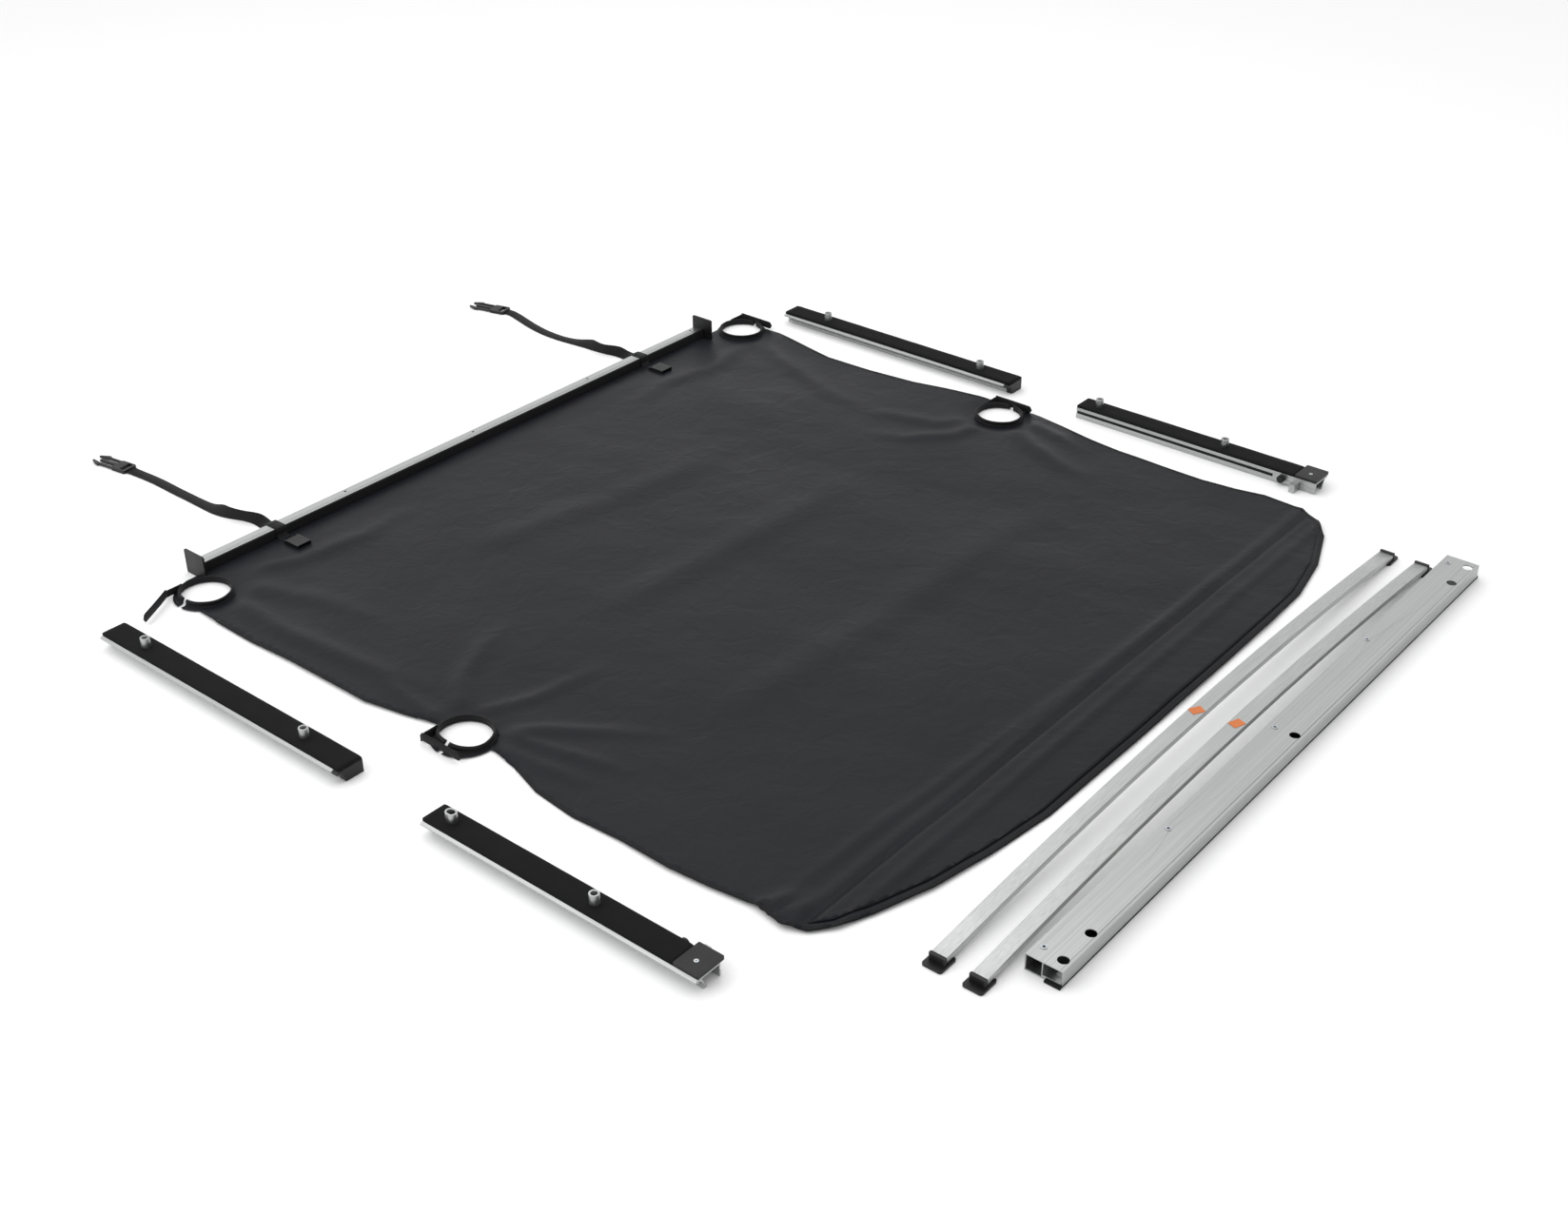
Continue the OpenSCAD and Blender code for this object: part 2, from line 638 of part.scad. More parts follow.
module rail_left_front() { rail_frame(side_outer_l, 1, left_front_y) side_rail(front_metal, ds_lf, 0, 0); }
module rail_left_rear() { rail_frame(side_outer_l, 1, left_rear_y) side_rail(side_rear_len, ds_re, slot_extra, plunger_d); }
module rail_right_front() { rail_frame(side_inner_r, 1, right_front_y) side_rail(front_metal, ds_rf, 0, 0); }
module rail_right_rear() { rail_frame(side_inner_r + side_w, -1, right_rear_y) side_rail(side_rear_len, ds_re, 0, plunger_d); }
module foam_left_front() { rail_frame(side_outer_l, 1, left_front_y) foam(side_front_len, ds_lf, 0); }
module foam_left_rear() { rail_frame(side_outer_l, 1, left_rear_y) foam(foam_rear_len, ds_re, slot_extra); }
module foam_right_front() { rail_frame(side_inner_r, 1, right_front_y) foam(side_front_len, ds_rf, 0); }
module foam_right_rear() { rail_frame(side_inner_r + side_w, -1, right_rear_y) foam(foam_rear_len, ds_re, 0); }
module tubes_left_front() { rail_frame(side_outer_l, 1, left_front_y) spacer_tubes(ds_lf, 0); }
module tubes_left_rear() { rail_frame(side_outer_l, 1, left_rear_y) spacer_tubes(ds_re, slot_extra); }
module tubes_right_front() { rail_frame(side_inner_r, 1, right_front_y) spacer_tubes(ds_rf, 0); }
module tubes_right_rear() { rail_frame(side_inner_r + side_w, -1, right_rear_y) spacer_tubes(ds_re, 0); }

module end_cap() {
    color([0.08, 0.08, 0.08]) {
        run_back(front_metal, cap_len)
            polygon([[-5, side_h - 5], [-5, side_h - 2], [0, side_h], [side_w, side_h], [side_w, 0], [11.5, 0], [5.5, side_h - 5]]);
        run_back(front_metal - plug_len, plug_len)
            polygon([[18 + 2 * gap, gap], [side_w - wall_t - gap, gap], [side_w - wall_t - gap, side_h - plate_wall - gap],
                [12, side_h - plate_wall - gap], [18 + 2 * gap, 8]]);
    }
}
module cap_left_front() { rail_frame(side_outer_l, 1, left_front_y) end_cap(); }
module cap_right_front() { rail_frame(side_inner_r, 1, right_front_y) end_cap(); }

module screw_at() {
    translate([side_w / 2, -(side_rear_len - cover_plate_len / 2), side_h]) children();
}
module cover_plate(inboard) {
    color([0.20, 0.20, 0.20]) difference() {
        translate([inboard ? 0 : -cover_plate_over, -side_rear_len, side_h])
            linear_extrude(foam_t) rounded(side_w + cover_plate_over, cover_plate_len - 0.3, 2);
        screw_at() translate([0, 0, -1]) cylinder(r = screw_r + gap, h = foam_t + 2);
        screw_at() translate([0, 0, foam_t - 2]) cylinder(r = screw_head_r + gap, h = 3);
    }
}
module plate_screw() {
    color([0.55, 0.55, 0.55]) screw_at() {
        cylinder(r = screw_r, h = foam_t - 1);
        translate([0, 0, foam_t - 2]) difference() {
            cylinder(r = screw_head_r, h = 2.3);
            translate([0, 0, 1.3]) cylinder(r = 1.5, h = 2, $fn = 6);
        }
    }
}
module cover_plate_left() { rail_frame(side_outer_l, 1, left_rear_y) cover_plate(true); }
module cover_plate_right() { rail_frame(side_inner_r + side_w, -1, right_rear_y) cover_plate(false); }
module plate_screw_left() { rail_frame(side_outer_l, 1, left_rear_y) plate_screw(); }
module plate_screw_right() { rail_frame(side_inner_r + side_w, -1, right_rear_y) plate_screw(); }

module bush() {
    color([0.60, 0.60, 0.58]) translate([side_w, -plunger_d, plunger_z]) rotate([0, 90, 0]) difference() {
        union() {
            translate([0, 0, -wall_t]) cylinder(r = bush_r, h = wall_t);
            cylinder(r = bush_flange_r, h = bush_flange_t);
        }
        translate([0, 0, -wall_t - 1]) cylinder(r = pin_r + pin_gap, h = wall_t + bush_flange_t + 2);
    }
}
module plunger() {
    color([0.07, 0.07, 0.07]) translate([side_w, -plunger_d, plunger_z]) rotate([0, 90, 0]) {
        translate([0, 0, -wall_t - pin_reach]) cylinder(r = pin_r, h = wall_t + pin_reach + bush_flange_t + 1);
        translate([0, 0, bush_flange_t + 0.2]) cylinder(r = knob_r, h = knob_len - 1);
        translate([0, 0, bush_flange_t + 0.2 + knob_len - 1]) cylinder(r = knob_r - 1, h = 1);
    }
}
module catch() {
    color([0.72, 0.73, 0.73]) translate([side_w, -side_rear_len + 35, 0])
        linear_extrude(catch_h) rounded(catch_reach, catch_t, 2);
}
module bush_left() { rail_frame(side_outer_l, 1, left_rear_y) bush(); }
module bush_right() { rail_frame(side_inner_r + side_w, -1, right_rear_y) bush(); }
module plunger_left() { rail_frame(side_outer_l, 1, left_rear_y) plunger(); }
module plunger_right() { rail_frame(side_inner_r + side_w, -1, right_rear_y) plunger(); }
module catch_left() { rail_frame(side_outer_l, 1, left_rear_y) catch(); }
module catch_right() { rail_frame(side_inner_r + side_w, -1, right_rear_y) catch(); }

// ---- bows --------------------------------------------------------------
module bow_tube(y) {
    mid = bow_r + bow_h / 2;
    color([0.76, 0.77, 0.77]) translate([bow_x, y, foot_h + bow_rise - bow_r]) rotate([90, 0, 0])
        rotate([0, 0, 90 - bow_a]) rotate_extrude(angle = 2 * bow_a) translate([mid, 0]) difference() {
            translate([-bow_h / 2, -bow_w / 2]) rounded(bow_h, bow_w, 1.5);
            translate([-bow_h / 2 + bow_wall, -bow_w / 2 + bow_wall])
                square([bow_h - 2 * bow_wall, bow_w - 2 * bow_wall]);
        }
}
module bow_front_tube() { bow_tube(bow_y[0]); }
module bow_rear_tube() { bow_tube(bow_y[1]); }

module bow_caps(y) {
    end = bow_len / 2 + (bow_h + foot_h) * sin(bow_a);
    color([0.08, 0.08, 0.08]) for (s = [-1, 1]) translate([bow_x, y, 0]) mirror([s > 0 ? 0 : 1, 0, 0]) {
        translate([end - ledge, -foot_w / 2, 0]) linear_extrude(foot_h - 0.05)
            rounded(ledge + cap_t + foot_out, foot_w, 5);
        translate([end, -bow_w / 2 - 1, 0]) linear_extrude(cap_h) rounded(cap_t + 3, bow_w + 2, 2.5);
        translate([end - plug_len, -bow_w / 2 + bow_wall + gap, foot_h + bow_wall + 1.2])
            cube([plug_len + 1, bow_w - 2 * bow_wall - 2 * gap, bow_h - 2 * bow_wall - 1.8]);
    }
}
module bow_front_caps() { bow_caps(bow_y[0]); }
module bow_rear_caps() { bow_caps(bow_y[1]); }

module patch(x, y, a) {
    color([0.78, 0.44, 0.18]) translate([x, y, bow_top]) rotate([0, 0, a])
        translate([-patch_w / 2, -patch_w / 2 + 3, 0]) cube([patch_w, patch_w - 6, patch_t]);
}
module bow_front_patch() { patch(bow_x - 6, bow_y[0], -30); }
module bow_rear_patch() { patch(bow_x + 2, bow_y[1], -20); }

// ---- header bar --------------------------------------------------------
module header_bar() {
    front_in = header_y1 - web_front + header_wall;
    color([0.75, 0.76, 0.76]) difference() {
        along_x(header_x - header_len / 2, header_len) difference() {
            translate([header_y0, 0]) square([header_w, header_h]);
            translate([header_y0 - 1, -1]) square([seal_w + 1, seal_h + 1]);
            translate([front_in, header_wall])
                square([web_front - 2 * header_wall, header_h - 2 * header_wall]);
            translate([header_y0 + header_wall, seal_h + header_wall])
                square([header_w - web_front - header_wall, header_h - seal_h - 2 * header_wall]);
            translate([header_y0 + 4, header_h - 0.8]) square([2, 1]);
        }
        for (i = [-2:2]) translate([header_x + i * rail_pitch, header_y1 - nut_back, header_h - header_wall - 1])
            cylinder(r = nut_body_r, h = header_wall + 2);
        for (x = [-port_inner, 0, port_inner])
            translate([header_x + x, header_y1 - port_back, header_h - header_wall - 1]) cylinder(r = port_r, h = header_wall + 2);
        for (x = [-port_outer, port_outer])
            translate([header_x + x, header_y1 - port_back, -1]) cylinder(r = port_r, h = header_h + 2);
    }
}
module rivet_nuts() {
    color([0.70, 0.70, 0.68]) for (i = [-2:2])
        translate([header_x + i * rail_pitch, header_y1 - nut_back, header_h]) difference() {
            union() {
                cylinder(r = nut_flange_r, h = nut_flange_t);
                translate([0, 0, -nut_len]) cylinder(r = nut_body_r, h = nut_len);
            }
            translate([0, 0, -nut_len - 1]) cylinder(r = nut_bore_r, h = nut_len + nut_flange_t + 2);
        }
}
module header_seal() {
    color([0.07, 0.07, 0.07]) difference() {
        translate([header_x - header_len / 2 - seal_out, header_y0, 0])
            cube([header_len + 2 * seal_out, seal_w - 0.3, seal_h]);
        for (x = [-port_outer, port_outer])
            translate([header_x + x, header_y1 - port_back, -1]) cylinder(r = port_r + 0.5, h = seal_h + 2);
    }
}

cover_sheet();
edge_binding();
rear_pocket();
collar_front_left();
collar_front_right();
collar_mid_left();
collar_mid_right();
tab_front_left();
tab_front_right();
tab_mid_left();
tab_mid_right();
front_rail();
front_hem();
end_plate_left();
end_plate_right();
strap_anchor_left();
strap_anchor_right();
socket_buckle_left();
socket_buckle_right();
strap_left();
strap_right();
prong_buckle_left();
prong_buckle_right();
rail_left_front();
rail_left_rear();
rail_right_front();
rail_right_rear();
foam_left_front();
foam_left_rear();
foam_right_front();
foam_right_rear();
tubes_left_front();
tubes_left_rear();
tubes_right_front();
tubes_right_rear();
cap_left_front();
cap_right_front();
cover_plate_left();
cover_plate_right();
plate_screw_left();
plate_screw_right();
bush_left();
bush_right();
plunger_left();
plunger_right();
catch_left();
catch_right();
bow_front_tube();
bow_rear_tube();
bow_front_caps();
bow_rear_caps();
bow_front_patch();
bow_rear_patch();
header_bar();
rivet_nuts();
header_seal();
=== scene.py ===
# %% [markdown]
# # A soft tonneau cover kit, laid out on the floor
# The hard parts come ready from the CAD model and only get their finishes here. The soft
# parts are made again, because cloth is never as flat or as sharp-edged as a CAD solid.

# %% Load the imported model
import math
import bmesh
import bpy
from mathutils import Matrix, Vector, geometry, noise


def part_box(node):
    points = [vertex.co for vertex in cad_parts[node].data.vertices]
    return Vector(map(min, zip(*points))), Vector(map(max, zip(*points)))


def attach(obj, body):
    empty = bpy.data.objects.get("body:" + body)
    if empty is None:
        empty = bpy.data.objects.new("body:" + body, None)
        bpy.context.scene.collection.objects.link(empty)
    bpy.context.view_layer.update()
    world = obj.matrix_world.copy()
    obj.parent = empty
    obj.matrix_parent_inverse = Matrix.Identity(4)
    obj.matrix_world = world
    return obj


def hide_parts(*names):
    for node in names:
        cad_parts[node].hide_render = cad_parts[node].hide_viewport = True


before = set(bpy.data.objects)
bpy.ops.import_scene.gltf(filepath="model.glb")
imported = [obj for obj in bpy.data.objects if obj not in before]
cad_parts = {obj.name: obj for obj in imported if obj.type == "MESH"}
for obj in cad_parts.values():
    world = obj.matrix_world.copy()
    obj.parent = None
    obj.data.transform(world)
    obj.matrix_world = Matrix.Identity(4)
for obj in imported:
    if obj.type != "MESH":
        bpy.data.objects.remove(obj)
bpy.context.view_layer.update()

# %% [markdown]
# ## Camera
# A long, low three-quarter view from the driver's rear corner, aimed with three angles.

# %% Camera
camera_data = bpy.data.cameras.new("camera")
camera_data.lens = 44.73
camera_data.sensor_width = 36
camera = bpy.data.objects.new("camera", camera_data)
camera.location = (-2.475, -2.200, 1.873)
camera.rotation_euler = [math.radians(a) for a in (58.54, 0, -50.69)]
bpy.context.collection.objects.link(camera)
bpy.context.scene.camera = camera
print("camera at", tuple(camera.location))

# %% [markdown]
# ## Shader helpers
# Colours are written as the hex value the eye sees. Blender adds light in linear numbers,
# so one function turns hex into linear. Another adds one shader node with its settings and
# links, so that each material below reads as a short list of nodes.

# %% Shader helpers
MM = 0.001
# a wave texture of scale 1 repeats about this many times in a metre
WAVE_TURN = 6.283


def linear(hex_colour):
    """An sRGB hex colour as linear red, green, blue and alpha."""
    out = []
    for i in (1, 3, 5):
        c = int(hex_colour[i:i + 2], 16) / 255
        out.append(c / 12.92 if c <= 0.04045 else ((c + 0.055) / 1.055) ** 2.4)
    return (*out, 1.0)


def add_node(tree, kind, inputs=None, **settings):
    """Add one shader node. An input is a plain value, or the output of another node."""
    item = tree.nodes.new("ShaderNode" + kind)
    for key, value in settings.items():
        setattr(item, key, value)
    for key, value in (inputs or {}).items():
        if isinstance(value, bpy.types.NodeSocket):
            tree.links.new(value, item.inputs[key])
        else:
            item.inputs[key].default_value = value
    return item


def start_material(name, **shader):
    """A new material, its node tree and its surface shader with plain values set on it."""
    material = bpy.data.materials.new(name)
    material.use_nodes = True
    surface = material.node_tree.nodes["Principled BSDF"]
    for key, value in shader.items():
        surface.inputs[key.replace("_", " ")].default_value = value
    return material, material.node_tree, surface


print("shader helpers ready, mid grey is", [round(v, 3) for v in linear("#808080")])

# %% [markdown]
# ## Webbing finish
# The tie-down straps are ribbed polyester webbing. Its ribs run across the width about every
# 1.6 mm, and it is nearly black with a faint sheen. The ribs are drawn at 3 mm, because finer
# ones vanish at this distance. The bump follows the distance along the strap, which is stored
# in the mesh's UV map, so that it turns with the strap.

# %% Webbing finish
webbing, tree, surface = start_material(
    "ribbed_polyester_webbing", Roughness=0.72, IOR=1.58, Specular_IOR_Level=0.15,
    Sheen_Weight=0.04, Sheen_Roughness=0.4)
uv = add_node(tree, "UVMap")
ribs = add_node(tree, "TexWave", {"Vector": uv.outputs["UV"], "Scale": 1 / (3 * MM) / WAVE_TURN,
                                  "Distortion": 0.4}, bands_direction="Y")
shade = add_node(tree, "ValToRGB", {"Fac": ribs.outputs["Fac"]})
shade.color_ramp.elements[0].color = linear("#0d0d0e")
shade.color_ramp.elements[1].color = linear("#1a1a1c")
bump = add_node(tree, "Bump", {"Height": ribs.outputs["Fac"], "Strength": 0.5, "Distance": 0.4 * MM})
tree.links.new(shade.outputs["Color"], surface.inputs["Base Color"])
tree.links.new(bump.outputs["Normal"], surface.inputs["Normal"])
print(webbing.name)

# %% [markdown]
# ## Mesh helpers
# `new_piece` turns points and faces into a mesh, gives it a finish and fixes it to its body.
# `sweep` lays a skin over rings of points, which suits straps, tapes, rings and strips.


# %% Mesh helpers
def new_piece(name, points, faces, material, body, smooth=True):
    """A mesh object in metres with one material, riding on a CAD body."""
    mesh = bpy.data.meshes.new(name)
    mesh.from_pydata(points, [], faces)
    mesh.validate()
    bm = bmesh.new()
    bm.from_mesh(mesh)
    bmesh.ops.recalc_face_normals(bm, faces=bm.faces)
    bm.to_mesh(mesh)
    bm.free()
    mesh.materials.append(material)
    for polygon in mesh.polygons:
        polygon.use_smooth = smooth
    piece = bpy.data.objects.new(name, mesh)
    bpy.context.collection.objects.link(piece)
    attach(piece, body)
    return piece


def sweep(rings, closed_ring=True, caps=True, closed_path=False):
    """Points and faces of a skin through rings that all have the same number of points."""
    points = [p for ring in rings for p in ring]
    n = len(rings[0])
    faces = []
    steps = len(rings) if closed_path else len(rings) - 1
    for i in range(steps):
        for k in range(n if closed_ring else n - 1):
            a = i * n + k
            b = i * n + (k + 1) % n
            j = (i + 1) % len(rings) * n
            faces.append((a, b, j + (k + 1) % n, j + k))
    if caps and closed_ring and not closed_path:
        faces.append(tuple(range(n))[::-1])
        faces.append(tuple(range((len(rings) - 1) * n, len(rings) * n)))
    return points, faces


print("mesh helpers ready")

# %% [markdown]
# ## Tie-down straps
# Each strap leaves the top of the front rail, drops to the floor and turns on its edge where
# the roll in the webbing lifts it. A strap is flat, so it is a ribbon swept along its route,
# with a twist at each point, and not a round cord. The route points are those of the CAD
# solid: x from the strap's crossing, y from the rail's front face, height, twist in degrees.

# %% Strap routes
STRAP_W = 25 * MM
STRAP_T = 1.5 * MM
HALF_W_MM = 12.5
HALF_T_MM = 0.75
RAIL_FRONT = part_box("front_rail")[1][1]
ROUTES = {
    "left": (-526 * MM, 8, [
        (0, 0, 22, 0), (0, 6, 20, 0), (2, 14, 12, 5), (4, 24, 4, 15), (6, 40, 0, 35), (0, 58, 0, 75),
        (-8, 84, 0, 90), (-17, 116, 0, 75), (-18, 150, 0, 35), (-17, 184, 0, 8), (-16, 236, 0, 0),
        (-16, 290, 0, 0), (-15, 350, 0, 0), (-17, 395, 0, 0), (-20, 425, 1, 0), (-22, 440, 2, 0)]),
    "right": (516 * MM, 14, [
        (0, 0, 22, 0), (0, 6, 20, 0), (2, 14, 12, 5), (5, 24, 4, 15), (4, 42, 0, 35), (-3, 62, 0, 75),
        (-12, 90, 0, 90), (-12, 118, 0, 75), (-7, 150, 0, 35), (-9, 190, 0, 8), (-13, 235, 0, 0),
        (-12, 285, 0, 0), (-4, 335, 0, 0), (6, 375, 0, 0), (15, 410, 0, 0), (18, 430, 1, 0),
        (16, 445, 2, 0)]),
}


def between(a, b, c, d, t):
    """A point between b and c on the smooth curve through a, b, c and d."""
    return tuple(q + t / 2 * (r - p + t * (2 * p - 5 * q + 4 * r - s + t * (3 * (q - r) + s - p)))
                 for p, q, r, s in zip(a, b, c, d))


def smooth_route(route, steps):
    """The route with steps points in each gap."""
    last = len(route) - 1
    out = [between(route[max(i - 1, 0)], route[i], route[i + 1], route[min(i + 2, last)], k / steps)
           for i in range(last) for k in range(steps)]
    return out + [route[-1]]


def webbing_ribbon(name, path, twists, first, final, body):
    """A flat band with softened edges, with its length in the UV map."""
    half = STRAP_W / 2
    thick = STRAP_T / 2
    section = [(-half, 0), (-half + thick, -thick), (half - thick, -thick),
               (half, 0), (half - thick, thick), (-half + thick, thick)]
    rings = []
    run = [0.0]
    for i, p in enumerate(path):
        if i == 0:
            ahead = Vector(first)
        elif i == len(path) - 1:
            ahead = Vector(final)
        else:
            ahead = (path[i + 1] - path[i - 1]).normalized()
        side = ahead.cross(Vector((0, 0, 1))).normalized()
        up = side.cross(ahead)
        turn = math.radians(twists[i])
        wide = side * math.cos(turn) + up * math.sin(turn)
        normal = up * math.cos(turn) - side * math.sin(turn)
        rings.append([p + wide * u + normal * v for u, v in section])
        if i:
            run.append(run[-1] + (p - path[i - 1]).length)
    points, faces = sweep(rings)
    strap = new_piece(name, points, faces, webbing, body)
    layer = strap.data.uv_layers.new(name="UVMap")
    for loop in strap.data.loops:
        ring, k = divmod(loop.vertex_index, len(section))
        layer.data[loop.index].uv = (section[k][0], run[ring])
    return strap, run[-1]


straps = {}
strap_facts = {}
for side, (x0, end_turn, route) in ROUTES.items():
    fine = smooth_route(route, 6)
    path = []
    for x, y, z, twist in fine:
        # a strap on its edge stands half its width above the floor
        lift = max(z, 0.2) + HALF_W_MM * abs(math.sin(math.radians(twist))) \
            + HALF_T_MM * abs(math.cos(math.radians(twist)))
        path.append(Vector((x0 + x * MM, RAIL_FRONT + y * MM, lift * MM)))
    turn = math.radians(end_turn)
    strap, strap_length = webbing_ribbon(
        "webbing_" + side, path, [q[3] for q in fine], (0, 1, 0), (-math.sin(turn), math.cos(turn), 0),
        "cover")
    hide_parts("strap_" + side)
    straps[side] = strap
    strap_facts[side] = (path, strap_length)
    print(strap.name, "length", round(strap_length, 3))

# %% Each strap's path and length
for side, strap in straps.items():
    path, strap_length = strap_facts[side]

# %% [markdown]
# ## Floor and light
# A plain pale floor under big soft lights. Large light panels give soft, faint shadows,
# as in a product studio with a light tent.

# %% Floor
floor_paint, tree, surface = start_material("matt_floor_paint", Roughness=0.9)
cloudy = add_node(tree, "TexNoise", {"Scale": 0.8, "Detail": 2.0})
tone = add_node(tree, "ValToRGB", {"Fac": cloudy.outputs["Fac"]})
tone.color_ramp.elements[0].color = linear("#f6f6f6")
tone.color_ramp.elements[1].color = linear("#fafafa")
tree.links.new(tone.outputs["Color"], surface.inputs["Base Color"])
floor_mesh = bpy.data.meshes.new("floor")
floor_mesh.from_pydata([(-30, -30, -0.0004), (30, -30, -0.0004), (30, 30, -0.0004), (-30, 30, -0.0004)],
                       [], [(0, 1, 2, 3)])
floor_mesh.materials.append(floor_paint)
floor = bpy.data.objects.new("floor", floor_mesh)
bpy.context.collection.objects.link(floor)
print("floor ready")

# %% Lights
bpy.context.scene.view_settings.view_transform = "Standard"
world = bpy.data.worlds.new("soft_white_room")
world.use_nodes = True
sky = world.node_tree
room = add_node(sky, "TexCoord")
parts = add_node(sky, "SeparateXYZ", {"Vector": room.outputs["Generated"]})
# the far wall of the tent is lit, and the near one is left dim
far = add_node(sky, "MapRange", {"Value": parts.outputs["Y"], "From Min": -1.0, "From Max": 1.0,
                                 "To Min": 0.62, "To Max": 1.28})
sky.links.new(far.outputs["Result"], sky.nodes["Background"].inputs["Strength"])
sky.nodes["Background"].inputs["Color"].default_value = linear("#ffffff")
bpy.context.scene.world = world
PANELS = [("panel_above", (0.2, 0.6, 3.4), (0, 0, 0), 4.5, 42),
          ("panel_left", (-3.0, 1.6, 2.6), (-0.2, 0, 0), 2.5, 26)]
for name, place, target, size, watts in PANELS:
    light = bpy.data.lights.new(name, "AREA")
    light.size = size
    light.energy = watts
    lamp = bpy.data.objects.new(name, light)
    lamp.location = place
    lamp.rotation_euler = (Vector(target) - Vector(place)).to_track_quat("-Z", "Y").to_euler()
    bpy.context.collection.objects.link(lamp)
print(len(PANELS), "light panels")

# %% [markdown]
# ## Metal finishes
# The rails, bows and header are mill-finish extruded aluminium: bare metal with faint die
# lines along its length and a soft, satin gloss. The die lines are really about 0.3 mm apart
# and are drawn near 1 mm, so that they show. Two copies differ only in which way the
# lines run, because the side rails lie along Y and the rest along X. Metal keeps the
# shader's default IOR, and its grey comes from the base colour.


# %% Extruded aluminium
def extruded_aluminium(name, stretch):
    """Mill-finish aluminium with die lines along the axis where stretch is small."""
    material, tree, surface = start_material(name, Metallic=1.0, Roughness=0.36)
    place = add_node(tree, "TexCoord")
    lines = add_node(tree, "Mapping", {"Vector": place.outputs["Object"], "Scale": stretch})
    grain = add_node(tree, "TexNoise", {"Vector": lines.outputs["Vector"], "Scale": 1.0, "Detail": 3.0})
    clouds = add_node(tree, "TexNoise", {"Vector": place.outputs["Object"], "Scale": 9.0, "Detail": 3.0})
    tint = add_node(tree, "ValToRGB", {"Fac": grain.outputs["Fac"]})
    tint.color_ramp.elements[0].position = 0.3
    tint.color_ramp.elements[0].color = linear("#a3a5a4")
    tint.color_ramp.elements[1].position = 0.7
    tint.color_ramp.elements[1].color = linear("#b9bbba")
    gloss = add_node(tree, "MapRange", {"Value": clouds.outputs["Fac"], "From Min": 0.3, "From Max": 0.7,
                                        "To Min": 0.3, "To Max": 0.46})
    bump = add_node(tree, "Bump", {"Height": grain.outputs["Fac"], "Strength": 0.25,
                                   "Distance": 0.1 * MM})
    tree.links.new(tint.outputs["Color"], surface.inputs["Base Color"])
    tree.links.new(gloss.outputs["Result"], surface.inputs["Roughness"])
    tree.links.new(bump.outputs["Normal"], surface.inputs["Normal"])
    return material


aluminium_x = extruded_aluminium("extruded_aluminium_along_x", (2.0, 900.0, 900.0))
aluminium_y = extruded_aluminium("extruded_aluminium_along_y", (900.0, 2.0, 900.0))
print(aluminium_x.name, aluminium_y.name)

# %% [markdown]
# The spacer tubes are turned: the tool leaves rings round them, so their lines are level.
# Screws, bushes and rivet nuts are zinc-plated steel, a little bluer and blotchier.

# %% Turned aluminium and zinc-plated steel
turned_aluminium = extruded_aluminium("turned_aluminium", (20.0, 20.0, 1600.0))

zinc_steel, tree, surface = start_material("zinc_plated_steel", Metallic=1.0, Roughness=0.34)
place = add_node(tree, "TexCoord")
blotch = add_node(tree, "TexNoise", {"Vector": place.outputs["Object"], "Scale": 260.0, "Detail": 4.0})
tint = add_node(tree, "ValToRGB", {"Fac": blotch.outputs["Fac"]})
tint.color_ramp.elements[0].color = linear("#9c9fa3")
tint.color_ramp.elements[1].color = linear("#c8ccd0")
gloss = add_node(tree, "MapRange", {"Value": blotch.outputs["Fac"], "To Min": 0.22, "To Max": 0.5})
tree.links.new(tint.outputs["Color"], surface.inputs["Base Color"])
tree.links.new(gloss.outputs["Result"], surface.inputs["Roughness"])
print(turned_aluminium.name, zinc_steel.name)

# %% [markdown]
# ## Plastic, rubber and vinyl finishes
# The end plates, buckles, caps and knobs are moulded nylon, near black, with the fine
# pebbled texture of a spark-eroded mould, about 0.5 mm across and drawn at 1 mm. The cover
# plates are ABS, a shade greyer. The seal is extruded rubber, the matt one of the three.


# %% Moulded finishes
def moulded(name, dark, light, grain_mm, gloss_range, depth, ior, shine):
    """A moulded or extruded polymer: fine pebble, slow colour drift, uneven gloss."""
    material, tree, surface = start_material(name, IOR=ior, Specular_IOR_Level=shine)
    place = add_node(tree, "TexCoord")
    pebble = add_node(tree, "TexNoise", {"Vector": place.outputs["Object"],
                                         "Scale": 1 / (grain_mm * MM), "Detail": 2.0})
    drift = add_node(tree, "TexNoise", {"Vector": place.outputs["Object"], "Scale": 28.0, "Detail": 3.0})
    tint = add_node(tree, "ValToRGB", {"Fac": drift.outputs["Fac"]})
    tint.color_ramp.elements[0].color = linear(dark)
    tint.color_ramp.elements[1].color = linear(light)
    gloss = add_node(tree, "MapRange", {"Value": drift.outputs["Fac"], "From Min": 0.3, "From Max": 0.7,
                                        "To Min": gloss_range[0], "To Max": gloss_range[1]})
    bump = add_node(tree, "Bump", {"Height": pebble.outputs["Fac"], "Strength": 0.35,
                                   "Distance": depth * MM})
    tree.links.new(tint.outputs["Color"], surface.inputs["Base Color"])
    tree.links.new(gloss.outputs["Result"], surface.inputs["Roughness"])
    tree.links.new(bump.outputs["Normal"], surface.inputs["Normal"])
    return material


